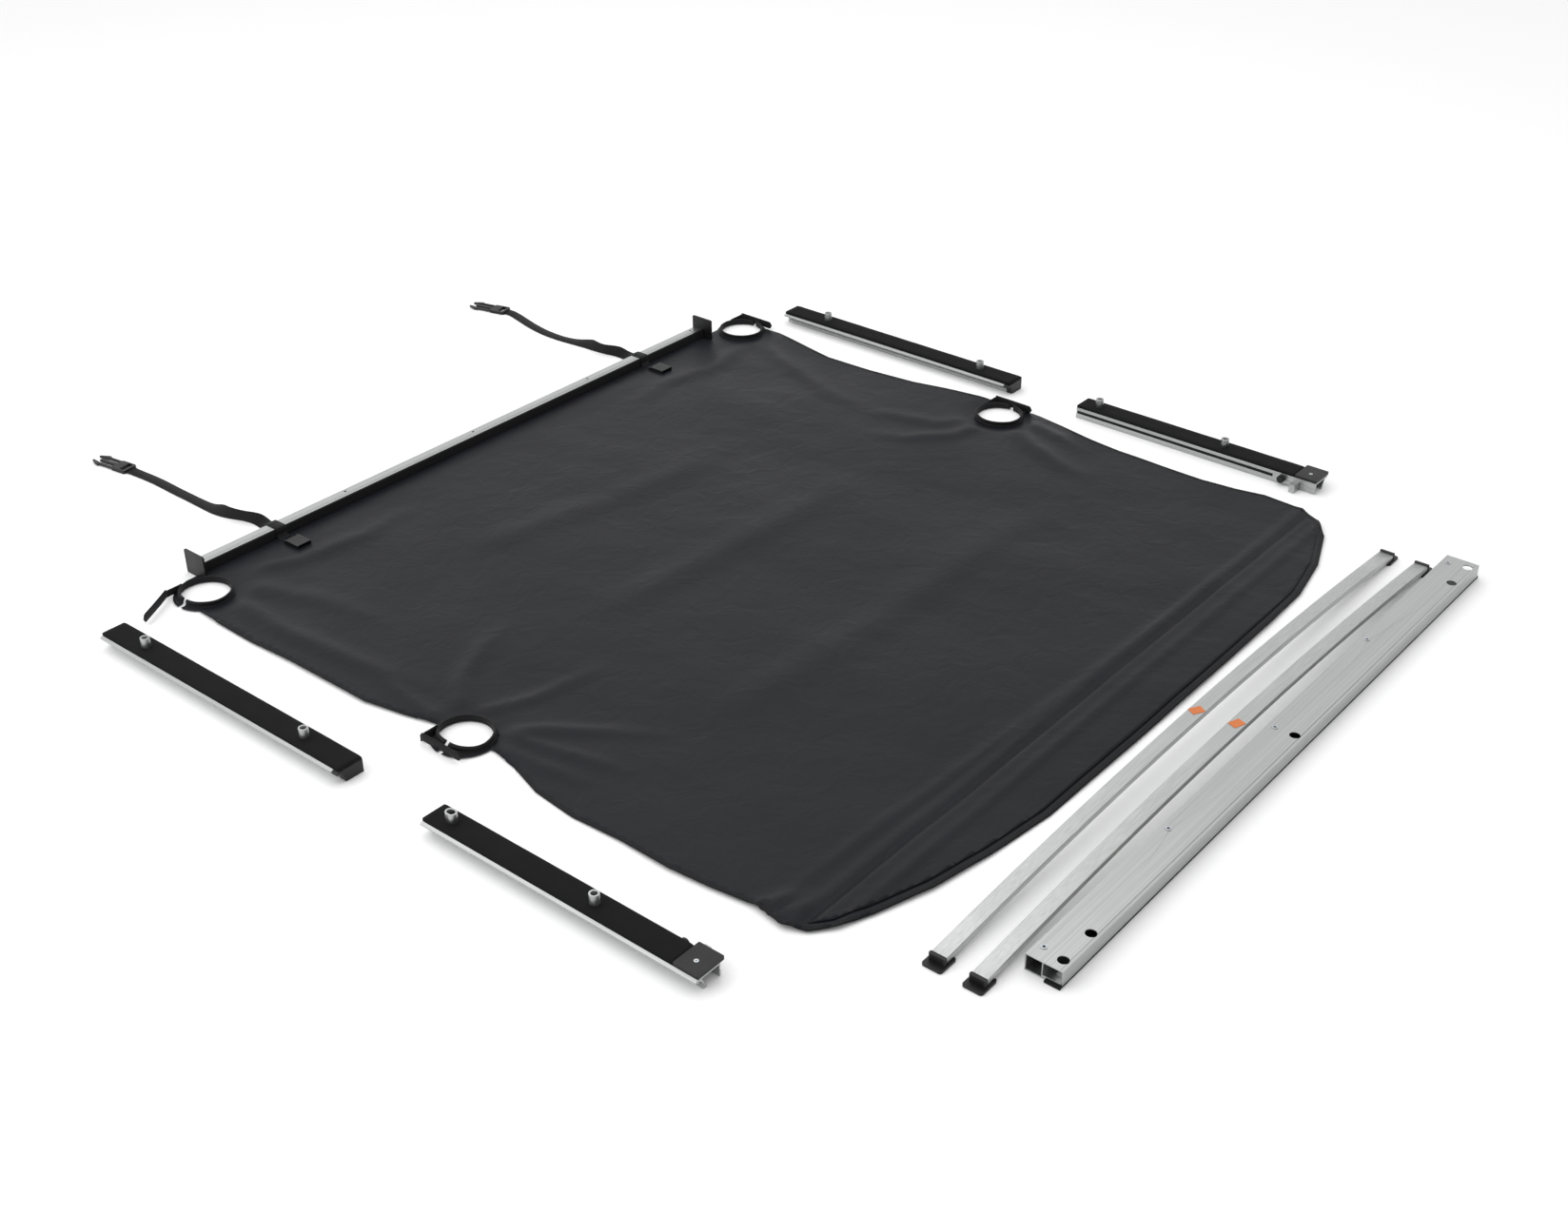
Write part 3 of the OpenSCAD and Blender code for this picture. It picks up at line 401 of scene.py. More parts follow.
moulded_nylon = moulded("moulded_nylon", "#0c0c0d", "#161617", 1.0, (0.38, 0.52), 0.08, 1.53, 0.3)
moulded_abs = moulded("moulded_abs", "#222322", "#2a2b2a", 1.2, (0.45, 0.6), 0.08, 1.54, 0.2)
rubber_seal = moulded("extruded_rubber", "#101010", "#181819", 1.6, (0.62, 0.78), 0.15, 1.52, 0.2)
closed_cell_foam = moulded("closed_cell_foam", "#101011", "#181819", 1.4, (0.8, 0.92), 0.5, 1.50, 0.12)
printed_vinyl = moulded("printed_vinyl", "#c26420", "#cc7030", 2.0, (0.35, 0.45), 0.03, 1.54, 0.4)
print("moulded finishes:", moulded_nylon.name, moulded_abs.name, rubber_seal.name)

# %% [markdown]
# ## Finish and soften the hard parts
# The CAD meshes already have the right shape, but razor-sharp edges never catch the light.
# A weld joins the split corners, and a small bevel gives each edge the radius that a die
# or a mould really leaves.

# %% Hard parts
HARD = [
    (aluminium_x, 0.35, ["front_rail", "bow_front_tube", "bow_rear_tube", "header_bar"]),
    (aluminium_y, 0.35, ["rail_left_front", "rail_left_rear", "rail_right_front", "rail_right_rear",
                         "catch_left", "catch_right"]),
    (turned_aluminium, 0.4, ["tubes_left_front", "tubes_left_rear", "tubes_right_front",
                             "tubes_right_rear"]),
    (moulded_nylon, 0.5, ["end_plate_left", "end_plate_right", "socket_buckle_left",
                          "socket_buckle_right", "prong_buckle_left", "prong_buckle_right",
                          "cap_left_front", "cap_right_front", "bow_front_caps", "bow_rear_caps",
                          "plunger_left", "plunger_right"]),
    (moulded_abs, 0.8, ["cover_plate_left", "cover_plate_right"]),
    (zinc_steel, 0.2, ["plate_screw_left", "plate_screw_right", "bush_left", "bush_right",
                       "rivet_nuts"]),
    (rubber_seal, 0.5, ["header_seal"]),
    (printed_vinyl, 0.1, ["bow_front_patch", "bow_rear_patch"]),
]
for material, edge_mm, names in HARD:
    for name in names:
        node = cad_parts[name]
        node.data.materials.clear()
        node.data.materials.append(material)
        weld = node.modifiers.new("weld", "WELD")
        weld.merge_threshold = 0.01 * MM
        soften = node.modifiers.new("edge_radius", "BEVEL")
        soften.width = edge_mm * MM
        soften.segments = 2
        soften.limit_method = "ANGLE"
        soften.angle_limit = math.radians(35)
        soften.harden_normals = True
print("hard parts finished:", sum(len(names) for _, _, names in HARD))

# %% [markdown]
# ## Cloth finishes
# The cover is PVC-coated canvas: a tight polyester weave under a thin satin coating, dark
# charcoal. Its threads are about 0.6 mm apart, drawn at 2.4 mm so that they show. A slow
# noise lightens the coating where it has been handled. The bindings are woven twill tape,
# darker and drier, with a diagonal line drawn every 2 mm.


# %% Coated canvas and twill
def woven(name, dark, light, thread_mm, rough, sheen, depth, twill, shine, crumple):
    """A woven cloth: crossed threads over soft crumples, slow drift of colour and gloss."""
    material, tree, surface = start_material(
        name, IOR=1.5, Specular_IOR_Level=shine, Sheen_Weight=sheen, Sheen_Roughness=0.5)
    place = add_node(tree, "TexCoord")
    turn = add_node(tree, "Mapping", {"Vector": place.outputs["Object"],
                                      "Rotation": (0, 0, math.radians(45 if twill else 0))})
    scale = 1 / (thread_mm * MM) / WAVE_TURN
    warp = add_node(tree, "TexWave", {"Vector": turn.outputs["Vector"], "Scale": scale,
                                      "Distortion": 0.3}, bands_direction="X")
    weft = add_node(tree, "TexWave", {"Vector": turn.outputs["Vector"], "Scale": scale,
                                      "Distortion": 0.3}, bands_direction="Y")
    cloth = add_node(tree, "Math", {0: warp.outputs["Fac"], 1: weft.outputs["Fac"]},
                     operation="MAXIMUM" if twill else "MULTIPLY")
    drift = add_node(tree, "TexNoise", {"Vector": place.outputs["Object"], "Scale": 2.6,
                                        "Detail": 6.0, "Roughness": 0.6})
    tint = add_node(tree, "ValToRGB", {"Fac": drift.outputs["Fac"]})
    tint.color_ramp.elements[0].position = 0.3
    tint.color_ramp.elements[0].color = linear(dark)
    tint.color_ramp.elements[1].position = 0.7
    tint.color_ramp.elements[1].color = linear(light)
    gloss = add_node(tree, "MapRange", {"Value": drift.outputs["Fac"], "From Min": 0.3, "From Max": 0.7,
                                        "To Min": rough[0], "To Max": rough[1]})
    # handling leaves soft crumples some 50 mm apart in a coated cloth
    soft = add_node(tree, "TexNoise", {"Vector": place.outputs["Object"], "Scale": 20.0,
                                       "Detail": 4.0, "Roughness": 0.55, "Distortion": 0.6})
    dent = add_node(tree, "Bump", {"Height": soft.outputs["Fac"], "Strength": 0.6,
                                   "Distance": crumple * MM})
    bump = add_node(tree, "Bump", {"Height": cloth.outputs["Value"], "Strength": 0.3,
                                   "Distance": depth * MM, "Normal": dent.outputs["Normal"]})
    tree.links.new(tint.outputs["Color"], surface.inputs["Base Color"])
    tree.links.new(gloss.outputs["Result"], surface.inputs["Roughness"])
    tree.links.new(bump.outputs["Normal"], surface.inputs["Normal"])
    return material


coated_canvas = woven("pvc_coated_canvas", "#131419", "#1a1b20", 2.4, (0.36, 0.5), 0.0, 0.1, False, 0.12, 3.0)
twill_tape = woven("polyester_twill_tape", "#0f0f10", "#17171a", 2.0, (0.65, 0.8), 0.04, 0.25, True, 0.2, 0.8)
thread = woven("polyester_thread", "#1c1c1e", "#29292b", 1.0, (0.55, 0.7), 0.05, 0.1, True, 0.3, 0.1)
print(coated_canvas.name, twill_tape.name, thread.name)

# %% [markdown]
# ## How the cover lies
# A cover that has been rolled never lies dead flat. One height function says how high the
# cloth stands at each place: slow swells, a few long folds, and short creases that fan out
# from the sewn collars. Every piece sewn to the cover asks the same function, so seams,
# bindings and collars stay on the cloth. A cloth simulation would settle into folds of its
# own choosing, and here the folds have known places.

# %% Folds of the cover
SHEET_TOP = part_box("cover_sheet")[1][2]
HEM_Y = 668 * MM
SEAM_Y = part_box("rear_pocket")[1][1]
# each fold in mm: height, half width, and the points it runs through
FOLDS = [
    (5.0, 16, [(-730, -150), (-670, -202), (-604, -291), (-534, -398)]),
    (4.5, 14, [(-725, -160), (-705, -230), (-680, -330), (-655, -420)]),
    (4.0, 14, [(-712, -80), (-615, -123), (-457, -151)]),
    (5.0, 18, [(-720, -56), (-655, 10), (-560, 60), (-447, 86)]),
    (4.0, 16, [(-760, -50), (-750, 60), (-720, 190)]),
    (4.0, 14, [(-748, -170), (-745, -270), (-725, -390)]),
    (5.5, 20, [(-736, 545), (-747, 375), (-732, 184), (-700, 15)]),
    (4.5, 26, [(-690, 560), (-641, 427), (-606, 228)]),
    (5.0, 22, [(-640, 600), (-560, 560), (-420, 540), (-260, 560)]),
    (5.5, 20, [(742, -120), (660, -100), (585, -26), (546, 72)]),
    (5.0, 22, [(745, -90), (690, -40), (660, 60), (631, 138)]),
    (6.0, 22, [(770, -180), (725, -260), (690, -353), (672, -440)]),
    (5.0, 18, [(815, -185), (800, -270), (770, -380)]),
    (4.0, 40, [(-318, -19), (78, -51), (520, -60)]),
    (4.0, 46, [(-450, -400), (-60, -430), (350, -420), (640, -470)]),
    (3.5, 40, [(-300, 330), (80, 250), (420, 230)]),
    (5.0, 24, [(741, 560), (616, 530), (469, 556), (300, 520)]),
    (5.0, 24, [(775, 538), (722, 401), (660, 240), (640, 120)]),
    (3.0, 10, [(-752, -783), (-400, -800), (-82, -817), (400, -832), (800, -842)]),
    (5.0, 9, [(-790, -768), (-760, -790), (-710, -800)]),
    (5.0, 9, [(-790, -815), (-755, -822), (-700, -812)]),
]
# sizes of every collar in mm: foot, opening, half the slit, and height
FOOT_R = 53
OPENING_R = 47
HALF_SLIT = 5
SLEEVE_H = 12
COLLARS = {}
for name in ("front_left", "front_right", "mid_left", "mid_right"):
    low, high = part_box("collar_" + name)
    outward = -1 if name.endswith("left") else 1
    cx = high[0] - FOOT_R * MM if outward < 0 else low[0] + FOOT_R * MM
    cy = low[1] + FOOT_R * MM
    COLLARS[name] = (outward, cx, cy)
    print("collar", name, round(cx, 3), round(cy, 3))


def gap_to_line(x, y, line):
    """Distance to a line of points, and how far along it the nearest place is, 0 to 1."""
    best = (1e9, 0.0)
    for i in range(len(line) - 1):
        ax, ay = line[i]
        bx, by = line[i + 1]
        dx, dy = bx - ax, by - ay
        t = max(0.0, min(1.0, ((x - ax) * dx + (y - ay) * dy) / (dx * dx + dy * dy)))
        d = math.hypot(x - ax - t * dx, y - ay - t * dy)
        if d < best[0]:
            best = (d, (i + t) / (len(line) - 1))
    return best


def fold_height(x, y):
    """Height of the cloth above where it would lie flat, in metres, for x and y in metres."""
    u, v = x / MM, y / MM
    rise = 2.4 + 3.0 * noise.noise(Vector((u / 260, v / 310, 0.3)))
    rise += 1.5 * noise.noise(Vector((u / 95, v / 130, 2.7)))
    for height, width, line in FOLDS:
        reach = 3 * width
        if not (min(p[0] for p in line) - reach < u < max(p[0] for p in line) + reach):
            continue
        d, along = gap_to_line(u, v, line)
        if d < reach:
            taper = min(1.0, (1 - along) * 2.2) * min(1.0, 0.35 + along * 6)
            rise += height * taper * math.exp(-(d / width) ** 2)
    # the edge is gathered beside the pocket's left end
    gather = math.hypot((u + 775) / 55, (v + 800) / 48)
    if gather < 1:
        rise += 3.2 * (1 - gather) * (1 + math.sin(v / 2.9 + u / 11))
    # two soft grooves run beside the pocket seam
    for seam, depth in ((-850, 4.0), (-905, 2.6)):
        rise += depth * math.exp(-((v - seam - 16) / 9) ** 2)
    # the cloth lies flat in the hem and at the foot of every collar
    quiet = min(1.0, max(0.0, (HEM_Y - y) / (60 * MM)))
    for _, cx, cy in COLLARS.values():
        quiet = min(quiet, max(0.0, (math.hypot(x - cx, y - cy) - 55 * MM) / (35 * MM)))
    return max(0.0, rise) * MM * quiet


print("height in the middle", round(fold_height(0, 0), 4))

# %% [markdown]
# ## The cover
# The flat cut of the cloth is the outline of the CAD sheet, with its four collar openings
# and their slits. The outline is cut into short steps and filled with an even net of
# triangles, each point is lifted by the height function, and the net gets a 1.2 mm
# thickness. An even net matters, because folds need points to bend at.


# %% Cloth cut from a flat outline
def apply_modifier(piece, kind, **settings):
    """Add a modifier, and bake it into the mesh."""
    modifier = piece.modifiers.new(kind.lower(), kind)
    for key, value in settings.items():
        setattr(modifier, key, value)
    evaluated = piece.evaluated_get(bpy.context.evaluated_depsgraph_get())
    mesh = bpy.data.meshes.new_from_object(evaluated)
    piece.modifiers.clear()
    piece.data = mesh


def top_outline(node, height):
    """The longest edge loop of a CAD node's flat top, in metres."""
    bm = bmesh.new()
    bm.from_mesh(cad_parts[node].data)
    bmesh.ops.remove_doubles(bm, verts=bm.verts, dist=0.01 * MM)
    top = {f for f in bm.faces if f.normal.z > 0.9 and abs(f.calc_center_median().z - height) < 0.1 * MM}
    edges = {e for f in top for e in f.edges if sum(g in top for g in e.link_faces) == 1}
    loops = []
    while edges:
        edge = edges.pop()
        loop = [edge.verts[0], edge.verts[1]]
        while True:
            step = next((e for e in loop[-1].link_edges if e in edges), None)
            if step is None:
                break
            edges.discard(step)
            loop.append(step.other_vert(loop[-1]))
        loops.append([Vector((v.co.x, v.co.y)) for v in loop[:-1]])
    bm.free()
    longest = max(loops, key=lambda q: sum((q[i] - q[i - 1]).length for i in range(len(q))))
    area = sum(longest[i - 1].cross(longest[i]) for i in range(len(longest))) / 2
    return longest if area > 0 else longest[::-1]


def short_steps(outline, step):
    """The closed outline with no step longer than step."""
    out = []
    for i, a in enumerate(outline):
        b = outline[(i + 1) % len(outline)]
        n = max(1, math.ceil((b - a).length / step))
        out += [a.lerp(b, k / n) for k in range(n)]
    return out


def inside(point, outline):
    """True where the point is inside the outline."""
    hit = False
    for i, a in enumerate(outline):
        b = outline[i - 1]
        if (a.y > point.y) != (b.y > point.y):
            if point.x < (b.x - a.x) * (point.y - a.y) / (b.y - a.y) + a.x:
                hit = not hit
    return hit


def cloth(name, outline, base, spacing, thickness, material, body, height):
    """A net of triangles over the outline, lifted by height(x, y) and given a thickness."""
    edge = short_steps(outline, spacing)
    low_x, high_x = min(p.x for p in edge), max(p.x for p in edge)
    low_y, high_y = min(p.y for p in edge), max(p.y for p in edge)
    rows = int((high_y - low_y) / (spacing * 0.87))
    net = []
    for r in range(1, rows):
        y = low_y + r * spacing * 0.87
        # where this row crosses the outline
        cuts = sorted((b.x - a.x) * (y - a.y) / (b.y - a.y) + a.x
                      for a, b in zip(edge, edge[1:] + edge[:1]) if (a.y > y) != (b.y > y))
        x = low_x + (r % 2) * spacing / 2
        while x < high_x:
            if sum(c < x for c in cuts) % 2 and all(abs(c - x) > spacing * 0.45 for c in cuts):
                net.append(Vector((x, y)))
            x += spacing
    count = len(edge)
    made = geometry.delaunay_2d_cdt(edge + net, [], [list(range(count))], 1, 1e-6)
    points = [(p.x, p.y, base + height(p.x, p.y)) for p in made[0]]
    piece = new_piece(name, points, [tuple(f) for f in made[2]], material, body)
    apply_modifier(piece, "SOLIDIFY", thickness=thickness, offset=-1)
    for polygon in piece.data.polygons:
        polygon.use_smooth = True
    print(name, len(points), "points")
    return piece


# %% Cover cloth
sheet_line = top_outline("cover_sheet", SHEET_TOP)
cover = cloth("cover_cloth", sheet_line, SHEET_TOP, 11 * MM, 1.2 * MM, coated_canvas, "cover", fold_height)
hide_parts("cover_sheet")

# %% [markdown]
# ## Rear pocket
# A second layer of canvas is sewn over the rear 120 mm. It puffs up a little behind
# its rows of stitching, so its height is the cover's plus a low dome.

# %% Rear pocket
pocket_line = top_outline("rear_pocket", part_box("rear_pocket")[1][2])


def pocket_height(x, y):
    """The cover's height and a low dome between the seam and the rear hem."""
    across = min(1.0, max(0.0, (SEAM_Y - y) / (12 * MM)))
    return fold_height(x, y) + 1.8 * MM * math.sin(across * math.pi / 2)


pocket = cloth("pocket_cloth", pocket_line, SHEET_TOP + 0.3 * MM, 9 * MM, 1.2 * MM, coated_canvas, "cover",
               pocket_height)
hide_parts("rear_pocket")

# %% [markdown]
# ## Edge binding
# Twill tape is folded round the raw edge and sewn down. Its section is a narrow U turned on
# its side, swept along the outline, and it leaves a gap where the collars and the hem are.

# %% Edge binding
steps = short_steps(sheet_line, 8 * MM)


def bound(p):
    """True where the cover's edge carries binding."""
    clear = all(math.hypot(p.x - cx, p.y - cy) > 100 * MM for _, cx, cy in COLLARS.values())
    return clear and p.y < HEM_Y - 36 * MM


runs = []
flags = [bound(p) for p in steps]
start = flags.index(False)
order = [(start + k) % len(steps) for k in range(len(steps) + 1)]
current = []
for index in order:
    if flags[index]:
        current.append(index)
    elif current:
        runs.append(current)
        current = []
tape_points, tape_faces = [], []
for run in runs:
    rings = []
    for index in run:
        before = steps[index - 1]
        after = steps[(index + 1) % len(steps)]
        ahead = (after - before).normalized()
        inward = Vector((-ahead.y, ahead.x))
        ring = []
        for reach, rise in ((7.5, -1.3), (0.0, -1.6), (-0.8, -0.8), (-0.9, 0.3), (-0.2, 1.0),
                            (2.0, 1.3), (5.5, 1.2), (7.2, 0.9), (7.6, 0.2)):
            q = steps[index] + inward * (reach * MM)
            ring.append((q.x, q.y, max(0.0002, SHEET_TOP + fold_height(q.x, q.y) + rise * MM)))
        rings.append(ring)
    points, faces = sweep(rings)
    offset = len(tape_points)
    tape_points += points
    tape_faces += [tuple(k + offset for k in f) for f in faces]
binding = new_piece("binding_tape", tape_points, tape_faces, twill_tape, "cover")
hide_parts("edge_binding")
print("binding in", len(runs), "runs")

# %% [markdown]
# ## Stitching
# Each stitch is a short, slightly arched bar of thread, 4 mm long with 2 mm between. All
# stitches of one kind of seam are one mesh, because thousands of objects would be slow.


# %% Stitches
def stitch_row(line, height, body_points, body_faces, length=4.0, pitch=6.0, lift=0.35):
    """Add stitches along a line of 2D points to the lists of points and faces."""
    travelled = 0.0
    mark = 0.0
    for a, b in zip(line, line[1:]):
        span = (b - a).length
        while span > 0 and mark < travelled + span:
            at = a.lerp(b, (mark - travelled) / span)
            ahead = (b - a).normalized()
            side = Vector((-ahead.y, ahead.x))
            rings = []
            for along, width, rise in ((-0.5, 0.15, 0.0), (-0.3, 0.35, 0.3), (0.3, 0.35, 0.3),
                                       (0.5, 0.15, 0.0)):
                q = at + ahead * (along * length * MM)
                z = height(q.x, q.y) + (lift + rise) * MM
                ring = []
                for k in range(5):
                    turn = math.tau * k / 5
                    s = q + side * (math.cos(turn) * width * MM)
                    ring.append((s.x, s.y, z + math.sin(turn) * width * MM))
                rings.append(ring)
            points, faces = sweep(rings)
            offset = len(body_points)
            body_points += points
            body_faces += [tuple(k + offset for k in f) for f in faces]
            mark += pitch * MM
        travelled += span


stitch_points, stitch_faces = [], []
for run in runs:
    line = []
    for index in run:
        before = steps[index - 1]
        after = steps[(index + 1) % len(steps)]
        ahead = (after - before).normalized()
        line.append(steps[index] + Vector((-ahead.y, ahead.x)) * (5.6 * MM))
    stitch_row(line, lambda x, y: SHEET_TOP + fold_height(x, y) + 1.1 * MM, stitch_points, stitch_faces)
pocket_x = [p.x for p in pocket_line]
for back in (4 * MM, 12 * MM):
    seam = [Vector((x * 10 * MM, SEAM_Y - back)) for x in
            range(int(min(pocket_x) / (10 * MM)) + 3, int(max(pocket_x) / (10 * MM)) - 3)]
    seam = [p for p in seam if inside(p, pocket_line)]
    stitch_row(seam, lambda x, y: SHEET_TOP + 0.3 * MM + pocket_height(x, y), stitch_points, stitch_faces)
stitching = new_piece("cover_stitching", stitch_points, stitch_faces, thread, "cover")
print("stitches", len(stitch_points) // 20)

# %% [markdown]
# ## Collars
# Each corner opening is finished with a low padded ring of binding, with a fat piped
# rim and a sewn foot, and it is slit on the outer side. One section is turned round the
# centre, and the radius wavers a little, because a soft sleeve is never quite round. The
# two left sleeves have slumped inward on their outer side. A short sewn lug runs off each
# sleeve, and the closure tab is sewn to it.


# %% Collars
# how far each sleeve's rim has slumped inward on its outer side, in mm
SLUMP = {"front_left": 6.0, "mid_left": 13.0, "front_right": 0.0, "mid_right": 0.0}


def collar_piece(name):
    """The soft sleeve round one opening."""
    outward, cx, cy = COLLARS[name]
    half_slit = math.asin(HALF_SLIT / OPENING_R)
    middle = 0.0 if outward > 0 else math.pi
    section = [(FOOT_R, 0.1), (FOOT_R, 1.2), (51.2, 2.0), (50.2, 3.0), (49.8, 5.0)]
    section += [(49.7 + 2.6 * math.cos(a), 9.2 + 2.7 * math.sin(a))
                for a in [math.radians(-100 + 28 * k) for k in range(11)]]
    section += [(47.3, 6), (47.2, 3), (47.2, 0.1)]
    rings = []
    count = 72
    for k in range(count + 1):
        turn = middle + half_slit + (math.tau - 2 * half_slit) * k / count
        waver = 0.9 * noise.noise(Vector((math.cos(turn) * 1.6, math.sin(turn) * 1.6, cx * 7)))
        sag = 0.8 * noise.noise(Vector((math.cos(turn) * 1.2, math.sin(turn) * 1.2, cy * 9)))
        ring = []
        for r, z in section:
            lean = max(0.0, math.cos(turn - middle)) ** 2
            push = (waver - SLUMP[name] * lean) * z / SLEEVE_H
            ring.append((cx + (r + push) * MM * math.cos(turn), cy + (r + push) * MM * math.sin(turn),
                         SHEET_TOP + max(0.1, z + sag * z / SLEEVE_H) * MM))
        rings.append(ring)
    points, faces = sweep(rings)
    piece = new_piece("sleeve_" + name, points, faces, twill_tape, "cover")
    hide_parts("collar_" + name)
    return piece


def lug_piece(name):
    """The sewn lug that carries the closure tab, from the sleeve out to the hinge."""
    outward, cx, cy = COLLARS[name]
    rings = []
    for k in range(25):
        x = cx + outward * (17 + 37.8 * k / 24) * MM
        ripple = 0.15 * math.sin(k * 0.9) * MM
        rings.append([(x, cy + y * MM + ripple, SHEET_TOP + z * MM) for y, z in
                      ((46.4, 0.2), (48.6, 0.2), (48.8, 1.0), (48.8, 12.6), (48.4, 13.5),
                       (46.6, 13.5), (46.2, 12.6), (46.2, 1.0))])
    points, faces = sweep(rings)
    piece = new_piece("tab_lug_" + name, points, faces, twill_tape, "cover")
    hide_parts("collar_" + name)
    return piece


for name in COLLARS:
    collar_piece(name)
    lug_piece(name)
print("collars", len(COLLARS))

# %% [markdown]
# ## Closure tabs
# A stiff double strip of binding closes each slit. It hinges at its sewn end, so it rides
# on a body of its own. It is a thin plate with rounded corners and a slight bow. The
# front-left one is laid open, and the others lie along their slits.


# %% Closure tabs
# the hinge, out from and ahead of the collar's centre, in mm
PIVOT_OUT = 53.75
PIVOT_AHEAD = 44.4
OPEN_ANGLE = -60


def tab_piece(name, body):
    """The strip that closes one collar's slit, laid along the CAD tab."""
    low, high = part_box("tab_" + name)
    outward, cx, cy = COLLARS[name]
    pivot = Vector((cx + outward * PIVOT_OUT * MM, cy + PIVOT_AHEAD * MM, 0))
    turn = math.radians(OPEN_ANGLE if name == "front_left" else 0)
    ahead = Vector((math.sin(turn), -math.cos(turn), 0))
    side = Vector((-ahead.y, ahead.x, 0))
    rings = []
    for k in range(25):
        t = k / 24
        run = -1.0 + 94.4 * t
        # rounded corners at both ends, smaller at the sewn one
        end = max(0.0, run - 85.4, 3.0 - run)
        cut = (8 - math.sqrt(max(0.0, 64 - end * end))) * (1.0 if run > 40 else 0.6)
        z0, z1 = low[2] / MM + 0.2 + cut, high[2] / MM - 0.2 - cut
        bow = 0.35 * math.sin(t * math.pi * 1.5)
        ring = []
        for u, z in ((-1.0, z0 + 1), (-0.5, z0), (0.5, z0), (1.0, z0 + 1), (1.15, (z0 + z1) / 2),
                     (1.0, z1 - 1), (0.5, z1), (-0.5, z1), (-1.0, z1 - 1), (-1.15, (z0 + z1) / 2)):
            q = pivot + ahead * (run * MM) + side * ((u + bow) * MM)
            ring.append((q.x, q.y, z * MM))
        rings.append(ring)
    points, faces = sweep(rings)
    piece = new_piece("tab_strip_" + name, points, faces, twill_tape, body)
    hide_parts("tab_" + name)
    return piece


TAB_BODIES = {"front_left": "tab_fl", "front_right": "tab_fr", "mid_left": "tab_ml", "mid_right": "tab_mr"}
for name, body in TAB_BODIES.items():
    tab_piece(name, body)
print("tabs", len(TAB_BODIES))

# %% [markdown]
# ## Front hem
# The cloth's front edge is sewn round a plastic bead that slides into the rail's channel.
# What shows is an upright band of binding against the rail, which ripples slightly.

# %% Front hem
hem_low, hem_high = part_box("front_hem")
rings = []
for k in range(181):
    x = hem_low[0] + (hem_high[0] - hem_low[0]) * k / 180
    ripple = 0.22 * noise.noise(Vector((x * 14, 0, 5))) * MM
    y0 = hem_low[1] + 0.3 * MM + ripple
    ring = [(x, y0, 0.4 * MM), (x, y0 + 1.9 * MM, 0.4 * MM), (x, y0 + 2.1 * MM, 12 * MM),
            (x, y0 + 1.9 * MM, 20 * MM), (x, y0 + 1.2 * MM, 20.8 * MM), (x, y0 + 0.4 * MM, 20.4 * MM),
            (x, y0 + 0.1 * MM, 19 * MM), (x, y0 - 0.1 * MM, 10 * MM), (x, y0, 3 * MM)]
    rings.append(ring)
points, faces = sweep(rings)
hem = new_piece("hem_band", points, faces, twill_tape, "cover")
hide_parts("front_hem")
print("hem band", round(hem_high[0] - hem_low[0], 3), "long")

# %% [markdown]
# ## Strap anchors
# Each strap starts as a loop round the bar of the small buckle on the cover, runs up the
# hem and over the rail, where the free strap above takes over.

# %% Strap anchors
for side, (x0, _, _) in ROUTES.items():
    bar_y = 636 * MM
    bar_z = 5.7 * MM
    loop = [(bar_y + 3.0 * MM * math.cos(a), bar_z + 3.0 * MM * math.sin(a))
            for a in [math.radians(60 + 20 * k) for k in range(11)]]
    over = [(642, 2.9), (650, 2.8), (658, 2.9), (662, 4.2), (663.9, 8), (664.1, 14), (664.2, 19),
            (665.0, 22.0), (667.4, 22.8), (672, 22.85), (680, 22.85), (688, 22.8), (693, 22.75)]
    line = loop + [(y * MM, z * MM) for y, z in over]
    path = [Vector((x0, y, z)) for y, z in line]
    half = STRAP_W / 2
    rings = []
    for i, p in enumerate(path):
        ahead = (path[min(i + 1, len(path) - 1)] - path[max(i - 1, 0)]).normalized()
        normal = Vector((1, 0, 0)).cross(ahead)
        ring = []
        for u, v in ((-half, 0), (-half + 0.7 * MM, -0.7 * MM), (half - 0.7 * MM, -0.7 * MM),
                     (half, 0), (half - 0.7 * MM, 0.7 * MM), (-half + 0.7 * MM, 0.7 * MM)):
            ring.append(p + Vector((u, 0, 0)) + normal * v)
        rings.append(ring)
    points, faces = sweep(rings)
    anchor = new_piece("anchor_webbing_" + side, points, faces, webbing, "cover")
    layer = anchor.data.uv_layers.new(name="UVMap")
    for loop_item in anchor.data.loops:
        ring_index, k = divmod(loop_item.vertex_index, 6)
        layer.data[loop_item.index].uv = (0.0, ring_index * 3 * MM)
    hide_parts("strap_anchor_" + side)
print("strap anchors done")

# %% [markdown]
# ## Foam strips
# A closed-cell foam strip is stuck along the top of each side rail. Foam is cut with a
# blade, so its edges are soft and its top is never quite level.

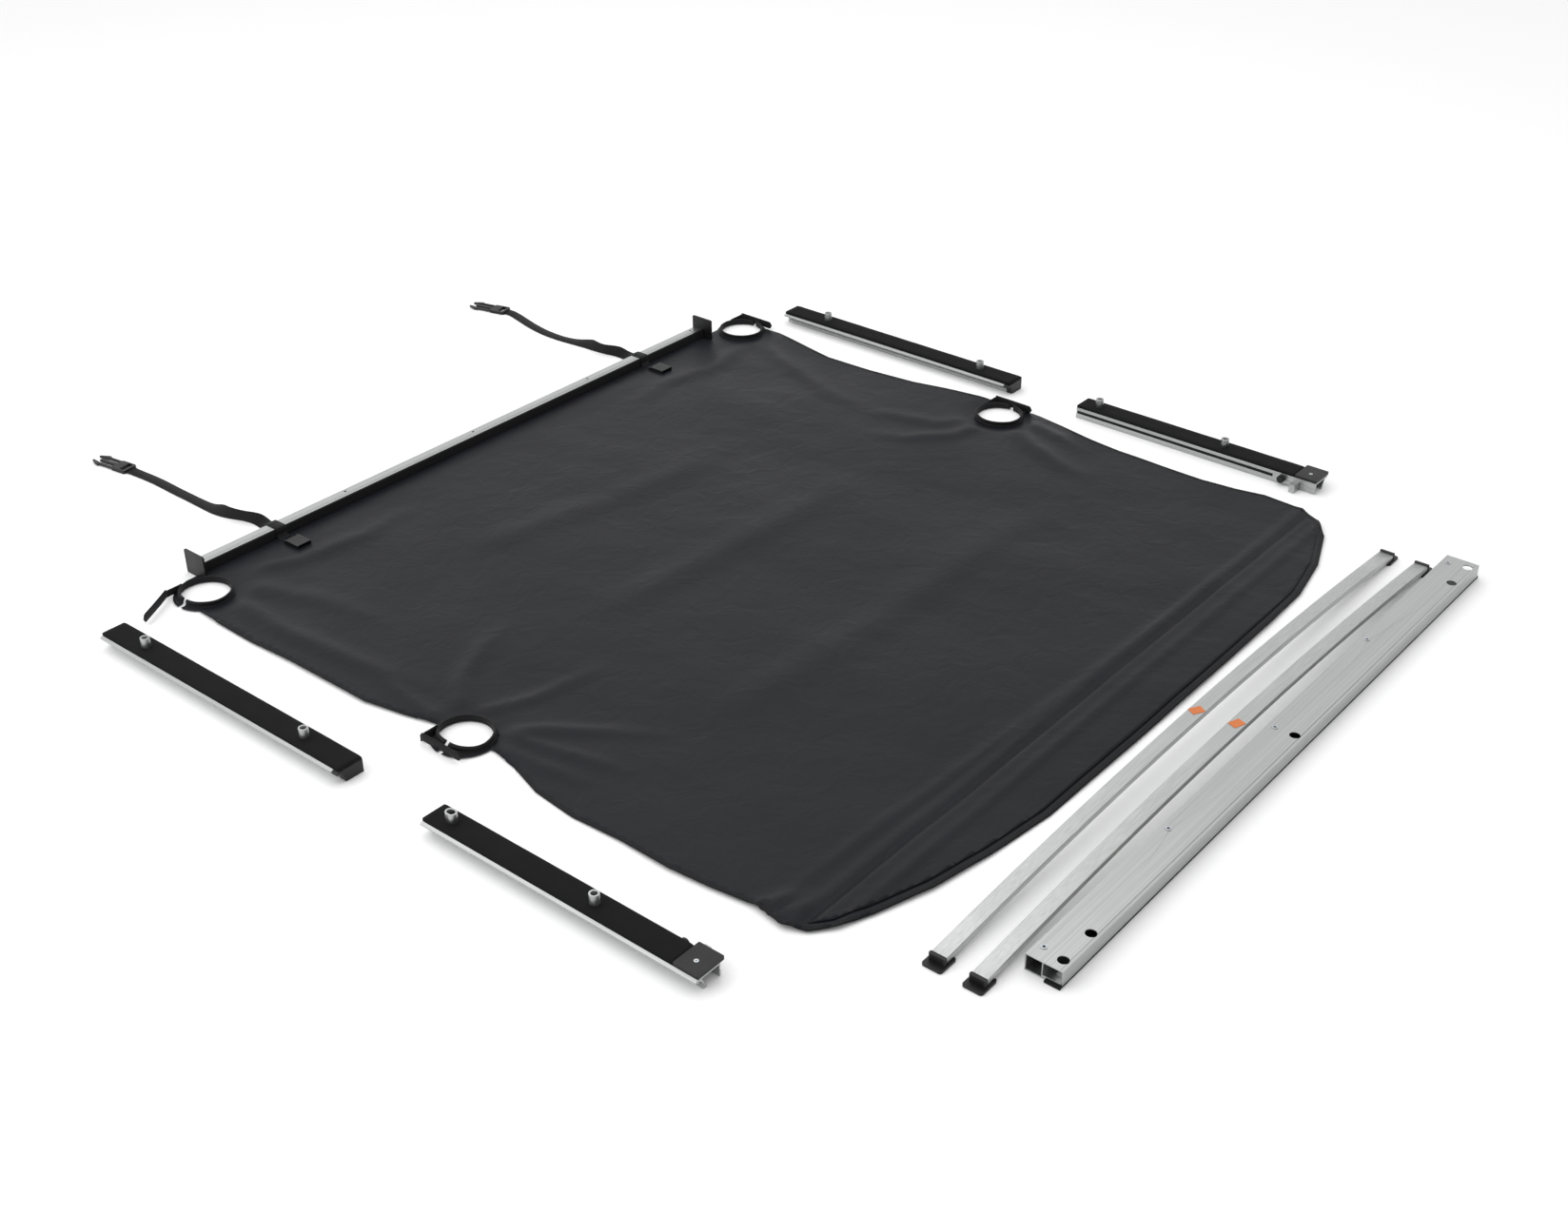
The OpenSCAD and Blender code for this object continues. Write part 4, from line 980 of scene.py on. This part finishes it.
# %% Foam strips
for name, body in (("left_front", "side_left_front"), ("left_rear", "side_left_rear"),
                   ("right_front", "side_right_front"), ("right_rear", "side_right_rear")):
    low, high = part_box("foam_" + name)
    count = 90
    rings = []
    for k in range(count + 1):
        y = low[1] + (high[1] - low[1]) * k / count
        pinch = 0.6 * MM if k in (0, count) else 0.0
        dip = 0.25 * MM * noise.noise(Vector((low[0] * 3, y * 16, 1)))
        x0, x1 = low[0] + 0.2 * MM + pinch, high[0] - 0.2 * MM - pinch
        z0, z1 = low[2], high[2] - 0.25 * MM + dip - pinch
        ring = [(x0, y, z0), (x1, y, z0), (x1, y, z1 - 1.2 * MM), (x1 - 0.4 * MM, y, z1 - 0.4 * MM),
                (x1 - 1.4 * MM, y, z1)]
        ring += [(x1 + (x0 - x1) * t, y, z1) for t in (0.3, 0.5, 0.7)]
        ring += [(x0 + 1.4 * MM, y, z1), (x0 + 0.4 * MM, y, z1 - 0.4 * MM), (x0, y, z1 - 1.2 * MM)]
        rings.append(ring)
    points, faces = sweep(rings)
    strip = new_piece("foam_strip_" + name, points, faces, closed_cell_foam, body)
    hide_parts("foam_" + name)
print("foam strips done")

# %% [markdown]
# ## Slot shade strips
# The upright wall of each side rail has a long slot for a sliding clamp. The slot opens into the hollow rail
# and is dark from its own shade, so a dark rubber strip is laid in it as painted shade. It shows as a black
# line between two bright ones. It stops short of the release plunger.

# %% Slot shade strips
# clear lengths at a strip's ends, in mm
PLUNGER_CLEAR = 96
END_CLEAR = 2
for name, body, out in (("left_front", "side_left_front", 1), ("left_rear", "side_left_rear", 1),
                        ("right_front", "side_right_front", 1), ("right_rear", "side_right_rear", -1)):
    low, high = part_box("rail_" + name)
    face = high[0] if out > 0 else low[0]
    stop = PLUNGER_CLEAR * MM if "rear" in name else END_CLEAR * MM
    rings = []
    for k in range(41):
        y = low[1] + stop + (high[1] - END_CLEAR * MM - low[1] - stop) * k / 40
        ripple = 0.08 * math.sin(y * 60) * MM
        deep, shown = face - out * 1.15 * MM, face - out * 0.5 * MM
        rings.append([(deep, y, 10.7 * MM), (shown, y, 10.8 * MM), (shown + out * 0.2 * MM, y, 12 * MM),
                      (shown + out * 0.2 * MM + ripple, y, 15.5 * MM), (shown, y, 16.7 * MM),
                      (deep, y, 16.8 * MM)])
    points, faces = sweep(rings)
    # the dark strip is painted shade, standing where the slot's own shade falls
    strip = new_piece("slot_shade_strip_" + name, points, faces, rubber_seal, body)
print("slot strips done")
